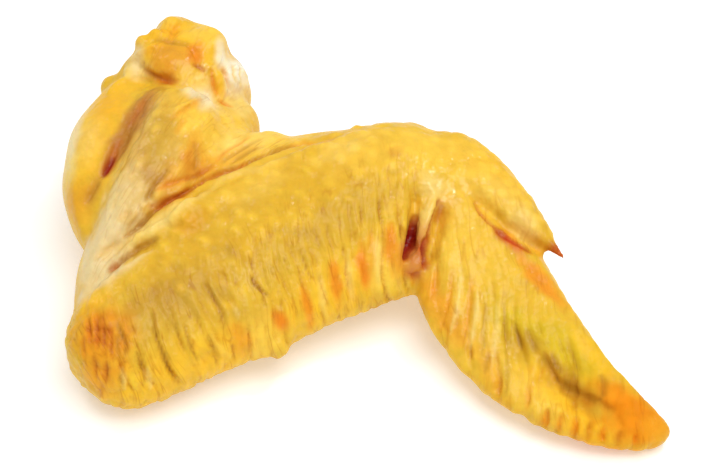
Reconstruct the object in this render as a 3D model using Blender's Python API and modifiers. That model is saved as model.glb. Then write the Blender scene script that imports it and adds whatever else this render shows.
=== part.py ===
"""Raw chicken wing, whole: drumette, flat, wing tip and thumb, lying folded with its outer side up.

The wing is one solid. Each bone carries a fleshy sleeve, which is a loft of rounded sections.
The sleeves, the skin web and the lumps of the cut shoulder are fused by a voxel remesh,
softened, wrinkled by the feather rows, and set down on the table.
Sizes are in millimetres, and +Z is up. The camera side of the photograph is -Y.
"""

import math
from typing import NamedTuple

import bmesh
import bpy
import numpy as np
from mathutils import Matrix, Vector, noise
from mathutils.bvhtree import BVHTree

MM = 0.001

# Bones, from joint to joint, as seen from above: where each starts, its length, its heading and its rise.
ELBOW = Vector((-47.0, -42.0, 12.0))
HUMERUS_LENGTH = 67.0
HUMERUS_HEADING = 82.0
HUMERUS_RISE = 9.0
ULNA_LENGTH = 75.0
ULNA_HEADING = 34.0
ULNA_RISE = 9.0
HAND_LENGTH = 77.0
HAND_HEADING = -52.0
HAND_RISE = -16.0
THUMB_LENGTH = 31.0
THUMB_HEADING = -46.0
THUMB_RISE = -5.0

# How the solid is made.
SLEEVE_SIDES = 12
VOXEL = 0.8
SOFTEN_PASSES = 6
EASE_PASSES = 2
TRIANGLE_SHARE = 0.15
FLAT_SPOT = 0.6

# The relief of the skin.
ROW_PITCH = 4.2
ROW_DEPTH = 0.85
LUMPINESS = 0.6


class Section(NamedTuple):
    """One rounded section of a sleeve, square to its bone: distances from the bone, in millimetres."""

    along: float
    left: float
    right: float
    up: float
    down: float
    roll: float = 0.0
    rise: float = 0.0


class Bone:
    """A straight bone: a start, a heading seen from above, and how far its far end rises."""

    def __init__(self, start, length, heading, rise):
        self.start = Vector(start)
        angle = math.radians(heading)
        flat_length = math.sqrt(length**2 - rise**2)
        self.end = self.start + Vector((flat_length * math.cos(angle), flat_length * math.sin(angle), rise))
        self.forward = (self.end - self.start).normalized()
        self.left = Vector((-math.sin(angle), math.cos(angle), 0.0))
        self.up = self.forward.cross(self.left)

    def point(self, along, left=0.0, up=0.0):
        """The point this far along the bone, to its left and above it."""
        return self.start + self.forward * along + self.left * left + self.up * up

    def measure(self, points):
        """(along, left, up) of each of these points, as the columns of an array."""
        axes = np.array([self.forward, self.left, self.up])
        return (points - np.array(self.start)) @ axes.T


HUMERUS = Bone(ELBOW, HUMERUS_LENGTH, HUMERUS_HEADING, HUMERUS_RISE)
ULNA = Bone(ELBOW, ULNA_LENGTH, ULNA_HEADING, ULNA_RISE)
HAND = Bone(ULNA.end, HAND_LENGTH, HAND_HEADING, HAND_RISE)
WEB_EDGE = Bone(ULNA.point(43, 20.5, 4.5), 30.0, ULNA_HEADING - 26.0, 2.0)
THUMB = Bone(ULNA.end + Vector((6.0, -2.0, 3.0)), THUMB_LENGTH, THUMB_HEADING, THUMB_RISE)
WEB = Bone(ELBOW + Vector((9.0, 17.0, 9.0)), 40.0, 55.0, 1.0)

DRUMETTE_SECTIONS = (
    Section(-12, 4, 8, 4, 8),
    Section(-4, 10, 13, 6, 11),
    Section(12, 12, 16, 10, 13.5),
    Section(28, 12, 19, 16, 16),
    Section(44, 11, 19, 18, 18.3),
    Section(53, 11, 17, 17, 19),
    Section(58, 11, 15, 14, 18),
    Section(62, 9, 11, 7, 14),
)

TRICEPS_SECTIONS = (
    Section(20, 2, 3, 3, 3),
    Section(25, 5.5, 6, 8, 8),
    Section(34, 11, 8, 13, 12),
    Section(46, 12.5, 9, 14, 12),
    Section(56, 10, 9, 12, 11),
    Section(63, 6, 7, 8, 8),
    Section(67, 2, 2, 2, 2),
)
TRICEPS = Bone(HUMERUS.point(0, 10.0, 1.0), 70.0, HUMERUS_HEADING - 1.0, HUMERUS_RISE)

FLAT_SECTIONS = (
    Section(-11, 4, 8, 5, 6.8, 20),
    Section(-5, 11, 15.4, 9, 9.9, 20),
    Section(8, 16, 16.3, 11, 10.5, 20),
    Section(24, 18, 19.4, 11, 9, 20),
    Section(42, 19, 20.8, 11, 8, 20),
    Section(56, 18, 24, 11.5, 7, 20),
    Section(64, 17, 26.5, 12, 7, 18),
    Section(71, 14, 15, 12, 8, 14),
    Section(82, 9, 5, 8, 6, 8),
)

HAND_SECTIONS = (
    Section(-6, 6, 6, 7, 6, 10),
    Section(2, 10, 9, 10, 8, 10),
    Section(14, 9.5, 15, 8, 7, 10),
    Section(25, 7, 22, 7, 6, 12),
    Section(36, 5.5, 25, 6, 5, 12),
    Section(50, 1.5, 24.5, 5.5, 4.8, 10),
    Section(62, -1.5, 20.8, 5, 5, 6),
    Section(71, 0.8, 14.2, 4, 6, 3),
    Section(79, 3, 5, 2, 4.5, 0),
)

THUMB_SECTIONS = (
    Section(-8, 5, 6, 4, 4, 5),
    Section(0, 9, 8, 5, 5, 5),
    Section(10, 8.5, 7, 4.5, 4, 5),
    Section(20, 5.5, 5, 3.5, 3, 5),
    Section(26, 2.4, 2.2, 1.8, 1.8, 0),
    Section(31, 1.0, 1.0, 1.0, 1.0, 0),
    Section(34, 0.5, 0.5, 0.5, 0.5, 0),
)

WEB_SECTIONS = (
    Section(0, 6, 6, 9, 7, 4),
    Section(12, 12, 13, 7.5, 8, 4),
    Section(20, 9, 18, 8, 8, 2),
    Section(26, 6, 22, 8.5, 7, 1),
    Section(32, 5.5, 24, 8, 6, 0),
    Section(36, 4.5, 24, 6, 5, -2),
    Section(38.5, 1, 16, 2, 2, -5),
)

WEB_EDGE_SECTIONS = (
    Section(-2, 3, 3, 2, 2),
    Section(6, 5, 5, 4, 4),
    Section(15, 6.3, 6, 4.5, 4),
    Section(24, 6.3, 6, 4.5, 4),
    Section(30, 4, 4, 3, 3),
)

# Lumps of joint, fat and gristle at the cut shoulder: (along, left, up) on the humerus, then half sizes.
SHOULDER_LUMPS = (
    ((66, -1, 3.5), (12, 12.5, 12)),
    ((72.2, -3.4, 6.8), (6.5, 7, 7)),
    ((75, 2, 9), (4.5, 5, 4.8)),
    ((67, 3, 10), (7.5, 6.5, 6)),
    ((67.5, -9.6, 0.5), (7, 6, 10)),
    ((64, 7, 5), (6.5, 6, 7)),
    ((62.8, 14, 4), (3, 3, 2.5)),
    ((57, -14.5, 1), (7, 5, 6)),
)

# A lobe of loose skin on the flat's lower edge: (along, left, up) on the ulna, then half sizes.
EDGE_LOBE = ((26.2, -17.3, -4.8), (3.6, 2.9, 2.9))


class Crease(NamedTuple):
    """A fold of the skin: points on a bone (along, left, up), half width, depth, and the lip beside it.

    A positive lip raises the skin on the left of the line, a negative one the skin on its right.
    """

    bone: Bone
    points: tuple
    width: float
    depth: float
    lip: float = 0.0


CREASES = (
    # Between the triceps flap and the drumette.
    Crease(HUMERUS, ((20, 11, 6), (28, 9.5, 9), (38, 6, 11.5), (44.5, 4.2, 14), (56, 1.5, 16)), 3.4, 2.6),
    # The rim of the skin round the cut shoulder.
    Crease(HUMERUS, ((63, 13, 8), (62, 9, 10.5), (60, 5, 11.5), (55, 0, 15)), 2.2, 1.4, -0.6),
    Crease(HUMERUS, ((55, 0, 15), (58, -4, 13), (60, -7.5, 10.5), (53, -12.5, 10)), 2.2, 1.4, -0.6),
    # Where the flat's skin folds over the drumette and the web.
    Crease(ULNA, ((4, 12.4, 10), (14, 13.5, 10.5), (24, 13.9, 12.7), (30, 12.2, 14)), 2.6, 2.2, -0.8),
    Crease(ULNA, ((22, 13.8, 12.2), (37, 12.6, 13), (47.6, 14, 9.8), (65, 10, 10)), 2.2, 1.5, -0.7),
    Crease(ULNA, ((-1, 8.6, 6), (4, 9.3, 8.5), (11, 9.3, 10.6), (17, 8.3, 11.5)), 2.2, 1.2, -0.5),
    # The wrist's inner bend.
    Crease(ULNA, ((68, -9, 7), (64, -13, 3.5), (60.5, -16, 0.7), (57.8, -18, -2)), 2.3, 3.2, 0.3),
    Crease(HAND, ((13, -6, 5.5), (15.6, -9.6, 3), (17.6, -12.2, 1.8), (20, -15, -1)), 1.8, 2.8),
    # Under the thumb, and the stripe below it.
    Crease(HAND, ((11, -1.2, 8), (15, -0.2, 7.2), (20, 0.2, 6.5), (28, 2, 5.6), (35, 6.5, 4.6)), 1.9, 1.8, 0.6),
    Crease(HAND, ((27, -2, 5.5), (35.3, -0.6, 5), (42.6, -0.2, 4.4), (50, -1.8, 5)), 2.0, 0.8, -0.4),
    # The long hollow of the tip.
    Crease(HAND, ((38, -12, 2.5), (48, -13, 0.4), (55, -13.6, 0), (63, -11, 1.5), (75, -6, 1.7)), 4.0, 1.5),
    # Small folds across the drumette.
    Crease(HUMERUS, ((21, 1, 11.5), (27, -4.6, 13), (31.6, -8, 12.4), (36, -14, 12)), 2.0, 1.1, -0.4),
    Crease(HUMERUS, ((26, 0, 13), (30, -2, 15), (35, -3.5, 15.5)), 2.0, 0.9),
    Crease(HUMERUS, ((31, -9, 12), (38, -11.6, 12.6), (46, -14.6, 10)), 2.2, 0.7, 0.3),
    # The underside: the folds beside the flat and the flap, and between the two bones of the flat.
    Crease(ULNA, ((6, 14, -9), (24, 16, -9), (42, 15, -8), (60, 12, -7)), 3.2, 2.0),
    Crease(HUMERUS, ((22, 10, -8), (34, 7, -14), (46, 4, -16), (56, 3, -16)), 4.0, 2.0),
    Crease(ULNA, ((8, -3, -11), (26, -3, -10), (44, -3, -9), (60, -4, -8)), 5.0, 1.2),
    Crease(ULNA, ((68, -8, -7), (62, -14, -7), (56, -19, -6)), 2.6, 2.4),
    Crease(HAND, ((12, 1, -8), (22, 1, -6), (31, 4, -5)), 2.4, 1.4),
)


def clear_scene():
    """Removes the objects of the startup scene."""
    for item in list(bpy.data.objects):
        bpy.data.objects.remove(item, do_unlink=True)


def ring_points(bone, section):
    """The points of one section: four quarter ellipses that meet smoothly."""
    roll = math.radians(section.roll)
    centre = bone.point(section.along) + Vector((0.0, 0.0, section.rise))
    side = bone.left * math.cos(roll) + bone.up * math.sin(roll)
    over = bone.up * math.cos(roll) - bone.left * math.sin(roll)
    points = []
    for step in range(SLEEVE_SIDES):
        angle = 2.0 * math.pi * step / SLEEVE_SIDES
        across = math.cos(angle) * (section.left if math.cos(angle) > 0 else section.right)
        height = math.sin(angle) * (section.up if math.sin(angle) > 0 else section.down)
        points.append((centre + side * across + over * height) * MM)
    return points


def make_sleeve(name, bone, sections):
    """A coarse cage lofted through the sections, with a Subdivision Surface that rounds it."""
    shape = bmesh.new()
    rings = [[shape.verts.new(p) for p in ring_points(bone, s)] for s in sections]
    for near, far in zip(rings, rings[1:]):
        for a in range(SLEEVE_SIDES):
            b = (a + 1) % SLEEVE_SIDES
            shape.faces.new((near[a], near[b], far[b], far[a]))
    shape.faces.new(rings[0])
    shape.faces.new(rings[-1])
    bmesh.ops.recalc_face_normals(shape, faces=shape.faces)
    mesh = bpy.data.meshes.new(name)
    shape.to_mesh(mesh)
    shape.free()
    sleeve = bpy.data.objects.new(name, mesh)
    bpy.context.scene.collection.objects.link(sleeve)
    rounding = sleeve.modifiers.new("rounding", "SUBSURF")
    rounding.levels = rounding.render_levels = 3
    return sleeve


def make_lump(name, centre, half_sizes, bone):
    """An ellipsoid laid along a bone."""
    shape = bmesh.new()
    bmesh.ops.create_icosphere(shape, subdivisions=3, radius=1.0)
    axes = Matrix((bone.forward, bone.left, bone.up)).transposed().to_4x4()
    size = Matrix.Diagonal((*[h * MM for h in half_sizes], 1.0))
    shape.transform(Matrix.Translation(bone.point(*centre) * MM) @ axes @ size)
    mesh = bpy.data.meshes.new(name)
    shape.to_mesh(mesh)
    shape.free()
    lump = bpy.data.objects.new(name, mesh)
    bpy.context.scene.collection.objects.link(lump)
    return lump


def fused(name, pieces):
    """One object that holds the evaluated meshes of the pieces, which are removed."""
    graph = bpy.context.evaluated_depsgraph_get()
    shape = bmesh.new()
    for piece in pieces:
        shape.from_mesh(bpy.data.meshes.new_from_object(piece.evaluated_get(graph)))
    mesh = bpy.data.meshes.new(name)
    shape.to_mesh(mesh)
    shape.free()
    for piece in pieces:
        bpy.data.objects.remove(piece, do_unlink=True)
    whole = bpy.data.objects.new(name, mesh)
    bpy.context.scene.collection.objects.link(whole)
    skin = whole.modifiers.new("skin", "REMESH")
    skin.mode = "VOXEL"
    skin.voxel_size = VOXEL * MM
    soften = whole.modifiers.new("soften", "SMOOTH")
    soften.factor = 0.5
    soften.iterations = SOFTEN_PASSES
    return whole


def settle_modifiers(whole):
    """Makes the modifiers' result the object's own mesh."""
    graph = bpy.context.evaluated_depsgraph_get()
    mesh = bpy.data.meshes.new_from_object(whole.evaluated_get(graph))
    whole.modifiers.clear()
    whole.data = mesh


def smooth_step(value, low, high):
    """0 below low, 1 above high, and a smooth rise between them."""
    share = np.clip((value - low) / (high - low), 0.0, 1.0)
    return share * share * (3.0 - 2.0 * share)


def wander(points, scale, seed):
    """Smooth noise between about -1 and 1 at each of the points, in lumps of this size."""
    offset = Vector((seed * 17.3, seed * 5.1, seed * 9.7))
    return np.array([noise.noise(Vector(p) / scale + offset) for p in points])


def line_on_skin(crease, tree):
    """The crease's points, closely spaced and moved onto the skin."""
    corners = [crease.bone.point(*p) for p in crease.points]
    line = []
    for near, far in zip(corners, corners[1:]):
        line += [tree.find_nearest(near.lerp(far, step / 4.0))[0] for step in range(4)]
    line.append(tree.find_nearest(corners[-1])[0])
    return np.array([tuple(p) for p in line])


def fold_height(points, line, crease):
    """How far a crease lowers (or its lip raises) each point."""
    nearest = np.full(len(points), np.inf)
    share = np.zeros(len(points))
    side = np.zeros(len(points))
    for step, (near, far) in enumerate(zip(line, line[1:])):
        run = far - near
        part = np.clip((points - near) @ run / (run @ run), 0.0, 1.0)
        gap = points - near - part[:, None] * run
        distance = np.linalg.norm(gap, axis=1)
        closer = distance < nearest
        nearest[closer] = distance[closer]
        share[closer] = (step + part[closer]) / (len(line) - 1)
        side[closer] = np.sign(run[0] * gap[closer, 1] - run[1] * gap[closer, 0])
    ends = smooth_step(share, 0.0, 0.15) * (1.0 - smooth_step(share, 0.85, 1.0))
    reach = nearest / crease.width
    groove = np.clip(1.0 - reach**2, 0.0, 1.0) ** 2
    fall = np.where(reach < 1.4, 0.5, 2.4)
    lip = np.exp(-(((reach - 1.4) / fall) ** 2)) * (side * crease.lip > 0.0)
    return ends * (lip * abs(crease.lip) - groove * crease.depth)


def ridge_wave(across):
    """Rounded ridges with narrow valleys between them, one for each row of feathers."""
    wave = 0.5 + 0.5 * np.cos(2.0 * np.pi * across / ROW_PITCH)
    return wave**0.6 - 0.6


def feather_rows(points):
    """The ridges left by the rows of plucked feathers on the flat and on the hand."""
    drift = wander(points, 13.0, 1)
    strength = 0.85 + 0.5 * wander(points, 8.0, 3)
    along, left, up = ULNA.measure(points).T
    ridge = ridge_wave(along - 0.2 * left + 1.6 * drift)
    on_flat = smooth_step(along, -12.0, -4.0) * (1.0 - smooth_step(along, 58.0, 66.0))
    low_half = smooth_step(-left, 1.0, 10.0) * smooth_step(up, -8.0, 1.0)
    height = ridge * on_flat * low_half * strength * ROW_DEPTH
    bumps = np.cos(2.0 * np.pi * along / ROW_PITCH) * np.cos(2.0 * np.pi * (left + 1.5 * drift) / 5.5)
    middle = (1.0 - smooth_step(-left, 1.0, 8.0)) * (1.0 - smooth_step(left, 9.0, 13.0))
    height += bumps * on_flat * middle * smooth_step(up, 3.0, 7.0) * 0.3
    along, left, up = HAND.measure(points).T
    ridge = ridge_wave(0.485 * along + 0.876 * left + 1.6 * drift)
    on_hand = smooth_step(along, 16.0, 26.0) * (1.0 - smooth_step(along, 66.0, 76.0))
    rear = smooth_step(-left, 2.0, 12.0) * smooth_step(up, -7.0, -1.0)
    return height + ridge * on_hand * rear * strength * ROW_DEPTH


def wrinkle(wing):
    """Presses the folds of the skin and the feather rows into the solid."""
    mesh = wing.data
    count = len(mesh.vertices)
    places = np.empty(count * 3, np.float32)
    mesh.vertices.foreach_get("co", places)
    points = places.reshape(-1, 3).astype(float) / MM
    facing = np.empty(count * 3, np.float32)
    mesh.vertices.foreach_get("normal", facing)
    facing = facing.reshape(-1, 3)
    faces = [tuple(face.vertices) for face in mesh.polygons]
    tree = BVHTree.FromPolygons([tuple(p) for p in points], faces)
    height = wander(points, 12.0, 2) * LUMPINESS + feather_rows(points)
    for crease in CREASES:
        height += fold_height(points, line_on_skin(crease, tree), crease)
    moved = (points + facing * height[:, None]) * MM
    mesh.vertices.foreach_set("co", moved.astype(np.float32).ravel())
    mesh.update()
    ease = wing.modifiers.new("ease", "SMOOTH")
    ease.factor = 0.5
    ease.iterations = EASE_PASSES
    settle_modifiers(wing)


def set_down(whole):
    """Moves the wing so that it rests on z = 0, centred, with small flat spots where it is pressed flat."""
    points = np.empty(len(whole.data.vertices) * 3, np.float32)
    whole.data.vertices.foreach_get("co", points)
    points = points.reshape(-1, 3)
    low, high = points.min(0), points.max(0)
    points[:, :2] -= (low[:2] + high[:2]) / 2.0
    points[:, 2] = np.maximum(points[:, 2] - low[2] - FLAT_SPOT * MM, 0.0)
    whole.data.vertices.foreach_set("co", points.ravel())
    whole.data.update()
    return (low + high) / 2.0, low[2]


def raw_skin():
    """Moist golden-yellow chicken skin."""
    skin = bpy.data.materials.new("raw_skin")
    skin.use_nodes = True
    shader = skin.node_tree.nodes["Principled BSDF"]
    shader.inputs["Base Color"].default_value = (0.78, 0.48, 0.12, 1.0)
    shader.inputs["Roughness"].default_value = 0.42
    return skin


def main():
    """Builds the wing."""
    clear_scene()
    pieces = [
        make_sleeve("drumette", HUMERUS, DRUMETTE_SECTIONS),
        make_sleeve("triceps", TRICEPS, TRICEPS_SECTIONS),
        make_sleeve("flat", ULNA, FLAT_SECTIONS),
        make_sleeve("hand", HAND, HAND_SECTIONS),
        make_sleeve("thumb", THUMB, THUMB_SECTIONS),
        make_sleeve("web", WEB, WEB_SECTIONS),
        make_sleeve("web_edge", WEB_EDGE, WEB_EDGE_SECTIONS),
    ]
    for number, (centre, half_sizes) in enumerate(SHOULDER_LUMPS):
        pieces.append(make_lump(f"lump_{number}", centre, half_sizes, HUMERUS))
    pieces.append(make_lump("edge_lobe", *EDGE_LOBE, ULNA))
    wing = fused("wing", pieces)
    settle_modifiers(wing)
    wrinkle(wing)
    set_down(wing)
    thin = wing.modifiers.new("thin", "DECIMATE")
    thin.ratio = TRIANGLE_SHARE
    thin.use_collapse_triangulate = True
    wing.data.materials.clear()
    wing.data.materials.append(raw_skin())


main()
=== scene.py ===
"""Looks of a raw chicken wing that lies on a white table with its outer side up.

The skin is rebuilt from the wing's solid at a finer grain. Folds, feather ridges and goose bumps are
raised on it, and its colours are painted by place along the bones. Lengths are in millimetres
until a mesh is made, and +Z is up.
"""

import logging
import math
from dataclasses import dataclass, field
from enum import Enum

import bmesh
import bpy
import numpy as np
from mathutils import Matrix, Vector, noise
from mathutils.bvhtree import BVHTree


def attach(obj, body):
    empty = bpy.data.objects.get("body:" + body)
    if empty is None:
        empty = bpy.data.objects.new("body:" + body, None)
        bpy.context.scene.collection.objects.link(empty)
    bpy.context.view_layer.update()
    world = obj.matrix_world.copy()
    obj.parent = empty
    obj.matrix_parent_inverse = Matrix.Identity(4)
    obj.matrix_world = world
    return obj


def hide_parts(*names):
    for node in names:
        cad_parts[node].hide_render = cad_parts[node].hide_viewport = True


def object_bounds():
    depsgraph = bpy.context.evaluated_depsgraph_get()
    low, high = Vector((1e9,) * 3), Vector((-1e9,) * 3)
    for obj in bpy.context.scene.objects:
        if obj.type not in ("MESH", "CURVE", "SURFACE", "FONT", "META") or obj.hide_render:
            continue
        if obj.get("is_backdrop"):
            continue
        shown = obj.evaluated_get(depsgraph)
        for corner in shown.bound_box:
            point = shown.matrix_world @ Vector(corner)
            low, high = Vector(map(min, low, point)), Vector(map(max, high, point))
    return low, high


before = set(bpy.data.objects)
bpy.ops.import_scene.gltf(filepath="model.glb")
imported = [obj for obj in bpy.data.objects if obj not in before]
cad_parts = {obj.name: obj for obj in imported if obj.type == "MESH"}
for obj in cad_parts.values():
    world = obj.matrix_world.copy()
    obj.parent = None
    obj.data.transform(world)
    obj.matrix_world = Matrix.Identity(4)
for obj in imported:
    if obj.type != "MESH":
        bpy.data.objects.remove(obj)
CAD_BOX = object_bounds()
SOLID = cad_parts["wing"]

MM = 0.001
NOISE_SHIFT = np.array((0.3796, -14.199, 1.099))
LOG = logging.getLogger("wing")

# A place on the wing: the pixel of the photograph that it shows at, as column and row, or its
# along, left and up distances on a bone.
Spot = tuple[float, ...]

# What an input of a node takes: a value, or the output of another node.
Feed = float | tuple[float, ...] | bpy.types.NodeSocket


def smooth_step(value: np.ndarray, low: float, high: float) -> np.ndarray:
    """Eases from 0 to 1.

    Args:
        value: The numbers to ease.
        low: Where the result leaves 0.
        high: Where the result reaches 1.

    Returns:
        One share from 0 to 1 for each number.
    """
    share = np.clip((value - low) / (high - low), 0.0, 1.0)
    return share * share * (3.0 - 2.0 * share)


def between(value: np.ndarray, low: float, full: float, fading: float, gone: float) -> np.ndarray:
    """Eases from 0 at low up to 1 at full, and back from 1 at fading to 0 at gone."""
    return smooth_step(value, low, full) * (1.0 - smooth_step(value, fading, gone))


def wander(points: np.ndarray, scale: float, seed: int) -> np.ndarray:
    """Smooth noise over the wing.

    Args:
        points: Places on the wing.
        scale: The size of the noise's lumps.
        seed: Picks one noise field.

    Returns:
        A value between about -1 and 1 for each point.
    """
    offset = Vector((seed * 17.3, seed * 5.1, seed * 9.7))
    return np.array([noise.noise(Vector(p) / scale + offset) for p in points + NOISE_SHIFT])


def ripple(places: np.ndarray, seed: float) -> np.ndarray:
    """Smooth noise with lumps of size 1, for many points at once.

    Args:
        places: Points, already divided by the size of the lumps.
        seed: Picks one noise field.

    Returns:
        A value between about -1 and 1 for each point.
    """
    base = np.floor(places)
    part = places - base
    ease = part * part * part * (part * (part * 6.0 - 15.0) + 10.0)
    total = np.zeros(len(places))
    for corner in np.ndindex(2, 2, 2):
        node = base + np.array(corner)
        step = part - np.array(corner)
        weight = np.ones(len(places))
        value = np.zeros(len(places))
        for axis in range(3):
            weight *= ease[:, axis] if corner[axis] else 1.0 - ease[:, axis]
            hashed = np.sin(node @ np.array((127.1, 311.7, 74.7)) + seed * 19.19 + axis * 53.3) * 43758.5453
            value += (2.0 * (hashed - np.floor(hashed)) - 1.0) * step[:, axis]
        total += weight * value
    return np.clip(total * 1.6, -1.0, 1.0)


def puckers(places: np.ndarray, seed: float) -> np.ndarray:
    """Rounded swellings with narrow valleys between them.

    Args:
        places: Points, already divided by the size of the swellings.
        seed: Picks one pattern.

    Returns:
        About 0 in the valleys and up to 1 on the swellings.
    """
    return np.clip(np.abs(ripple(places, seed)) * 2.2, 0.0, 1.0) ** 0.7


def cell_random(column: np.ndarray, row: np.ndarray, seed: float) -> np.ndarray:
    """A fixed random number from 0 to 1 for each cell of a grid.

    Args:
        column: Cell columns.
        row: Cell rows.
        seed: Picks one set of numbers.

    Returns:
        One number for each cell.
    """
    value = np.sin(column * 127.1 + row * 311.7 + seed * 74.7) * 43758.5453
    return value - np.floor(value)


def tree_of(mesh: bpy.types.Mesh) -> BVHTree:
    """A search tree of a mesh, in millimetres."""
    corners = [tuple(face.vertices) for face in mesh.polygons]
    return BVHTree.FromPolygons([vertex.co / MM for vertex in mesh.vertices], corners)


@dataclass(frozen=True)
class Viewpoint:
    """Where the photograph was taken from. The scene's camera stands there too.

    target: The point that the camera faces.
    distance: How far the camera is from that point.
    elevation: How high it stands, in degrees above the horizon.
    lens: Its focal length.
    sensor: The width of its sensor.
    picture: The photograph's width and height, in pixels.
    solid: The wing's solid, which its lines of sight meet.
    """

    target: tuple[float, float, float] = (-0.38, 14.199, -1.099)
    distance: float = 430.0
    elevation: float = 45.0
    lens: float = 100.0
    sensor: float = 36.0
    picture: tuple[int, int] = (706, 470)
    solid: BVHTree = field(default_factory=lambda: tree_of(SOLID.data))

    @property
    def outward(self) -> Vector:
        """The direction from the target to the camera."""
        angle = math.radians(self.elevation)
        return Vector((0.0, -math.cos(angle), math.sin(angle)))

    @property
    def position(self) -> Vector:
        """The camera's place."""
        return Vector(self.target) + self.outward * self.distance

    def sight(self, column: float, row: float) -> Vector:
        """The direction in which the camera sees a pixel of the photograph."""
        width, height = self.picture
        right = Vector((1.0, 0.0, 0.0))
        up = self.outward.cross(right)
        aim = right * (column - width / 2.0) + up * (height / 2.0 - row)
        return (aim - self.outward * (width * self.lens / self.sensor)).normalized()

    def shown(self, column: float, row: float) -> Vector:
        """The point of the wing that shows at a pixel of the photograph.

        A pixel at a rim means the rim and not what is behind it, so a few lines of sight round the
        pixel are tried as well, and one of those is taken where it ends clearly nearer.

        Args:
            column: The pixel's distance from the picture's left side.
            row: Its distance from the top.

        Returns:
            The point, or the solid's nearest one where no line of sight meets the solid.
        """
        ring = [(0.0, 0.0)] + [(2.5 * math.cos(turn), 2.5 * math.sin(turn)) for turn in range(6)]
        met = []
        for aside, down in ring:
            hit, _, _, reach = self.solid.ray_cast(self.position, self.sight(column + aside, row + down))
            if hit is not None:
                met.append((reach + 0.5 * math.hypot(aside, down), hit))
        if met:
            return min(met, key=lambda found: found[0])[1]
        run = self.sight(column, row)
        line = [self.position + run * (self.distance * share) for share in np.linspace(0.85, 1.15, 61)]
        return min((self.solid.find_nearest(point) for point in line), key=lambda found: found[3])[0]


VIEW = Viewpoint()


@dataclass(frozen=True)
class Bone:
    """A straight bone: its start, length, heading seen from above, and the rise of its far end."""

    start: tuple[float, float, float]
    length: float
    heading: float
    rise: float

    @property
    def axes(self) -> np.ndarray:
        """The bone's forward, left and up directions, as rows."""
        angle = math.radians(self.heading)
        level = math.sqrt(self.length**2 - self.rise**2)
        forward = np.array((level * math.cos(angle), level * math.sin(angle), self.rise)) / self.length
        left = np.array((-math.sin(angle), math.cos(angle), 0.0))
        return np.array((forward, left, np.cross(forward, left)))

    @property
    def end(self) -> tuple[float, float, float]:
        """The bone's far end."""
        return tuple(np.array(self.start) + self.axes[0] * self.length)

    def place(self, along: float, left: float, up: float) -> np.ndarray:
        """The point this far along the bone, to its left and above it."""
        return np.array(self.start) + np.array((along, left, up)) @ self.axes

    def measure(self, points: np.ndarray) -> np.ndarray:
        """The along, left and up distances of points, as three rows."""
        return ((points - np.array(self.start)) @ self.axes.T).T

    def spot(self, place: Spot) -> np.ndarray:
        """A place's along, left and up distances."""
        return self.measure(np.array(VIEW.shown(*place))) if len(place) == 2 else np.array(place)

    def distance(self, points: np.ndarray) -> np.ndarray:
        """How far each point is from the bone."""
        along, left, up = self.measure(points)
        past = np.maximum(np.maximum(-along, along - self.length), 0.0)
        return np.sqrt(past**2 + left**2 + up**2)


ELBOW = (-47.38, -27.801, 10.901)
ULNA = Bone(ELBOW, 75.0, 34.0, 9.0)


class Limb(Enum):
    """The bones that the skin's features are placed by."""

    HUMERUS = Bone(ELBOW, 67.0, 82.0, 9.0)
    ULNA = ULNA
    HAND = Bone(ULNA.end, 77.0, -52.0, -16.0)


class Tint(Enum):
    """Colours of raw chicken skin, fat and joint, as linear red, green and blue. The olive tint, UMBER, FAWN
    and RUST also serve as painted shade in creases, valleys and darker zones, and CREAM and PEARL as painted
    highlights.
    """

    FLESH = (0.68, 0.25, 0.050)
    GOLD = (0.82, 0.49, 0.032)
    HONEY = (0.86, 0.37, 0.018)
    LEMON = (0.96, 0.54, 0.024)
    OLIVE_SHADE = (0.65, 0.38, 0.036)
    # Olive skin tone, also used as painted shade on the flat's middle and lower left.
    MOSS = (0.73, 0.5, 0.014)
    BUTTER = (0.98, 0.62, 0.070)
    # Pale skin rims, also used for painted highlights.
    CREAM = (0.96, 0.7, 0.200)
    BLUSH = (0.87, 0.67, 0.320)
    SAND = (0.76, 0.46, 0.100)
    AMBER = (0.86, 0.26, 0.009)
    # Orange-brown folds, also used as painted shade in hollows and wrinkles.
    RUST = (0.56, 0.12, 0.010)
    # Brown of creases, also used as painted shade in them.
    UMBER = (0.45, 0.19, 0.016)
    # Brown streaks, also used as painted shade along the triceps crease.
    FAWN = (0.50, 0.2, 0.030)
    CRIMSON = (0.48, 0.015, 0.004)
    BLOOD = (0.26, 0.001, 0.003)
    CORAL = (0.72, 0.12, 0.020)
    # White membrane, also used for painted highlights.
    PEARL = (0.97, 0.9, 0.680)


@dataclass(frozen=True)
class Area:
    """A soft-edged area of the skin.

    limb: The bone it is placed by.
    centre: The place of its middle.
    reach: Half sizes along the bone and across it, out to where it has faded.
    strength: Its share at its middle.
    turn: Turns the area to the left, seen from above, in degrees.
    """

    limb: Limb
    centre: Spot
    reach: tuple[float, float]
    strength: float = 0.7
    turn: float = 0.0

    def share(self, points: np.ndarray, ragged: np.ndarray) -> np.ndarray:
        """How much of the area each point has.

        Args:
            points: Places on the skin.
            ragged: Noise that makes the area's edge uneven.

        Returns:
            One share from 0 to 1 for each point.
        """
        along, left, up = self.limb.value.measure(points) - self.limb.value.spot(self.centre)[:, None]
        cosine, sine = math.cos(math.radians(self.turn)), math.sin(math.radians(self.turn))
        length = (along * cosine + left * sine) / self.reach[0]
        width = (left * cosine - along * sine) / self.reach[1]
        radius = np.sqrt(length**2 + width**2 + (up / 7.5) ** 2) + 0.22 * ragged
        return self.strength * (1.0 - smooth_step(radius, 0.25, 1.0))


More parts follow.
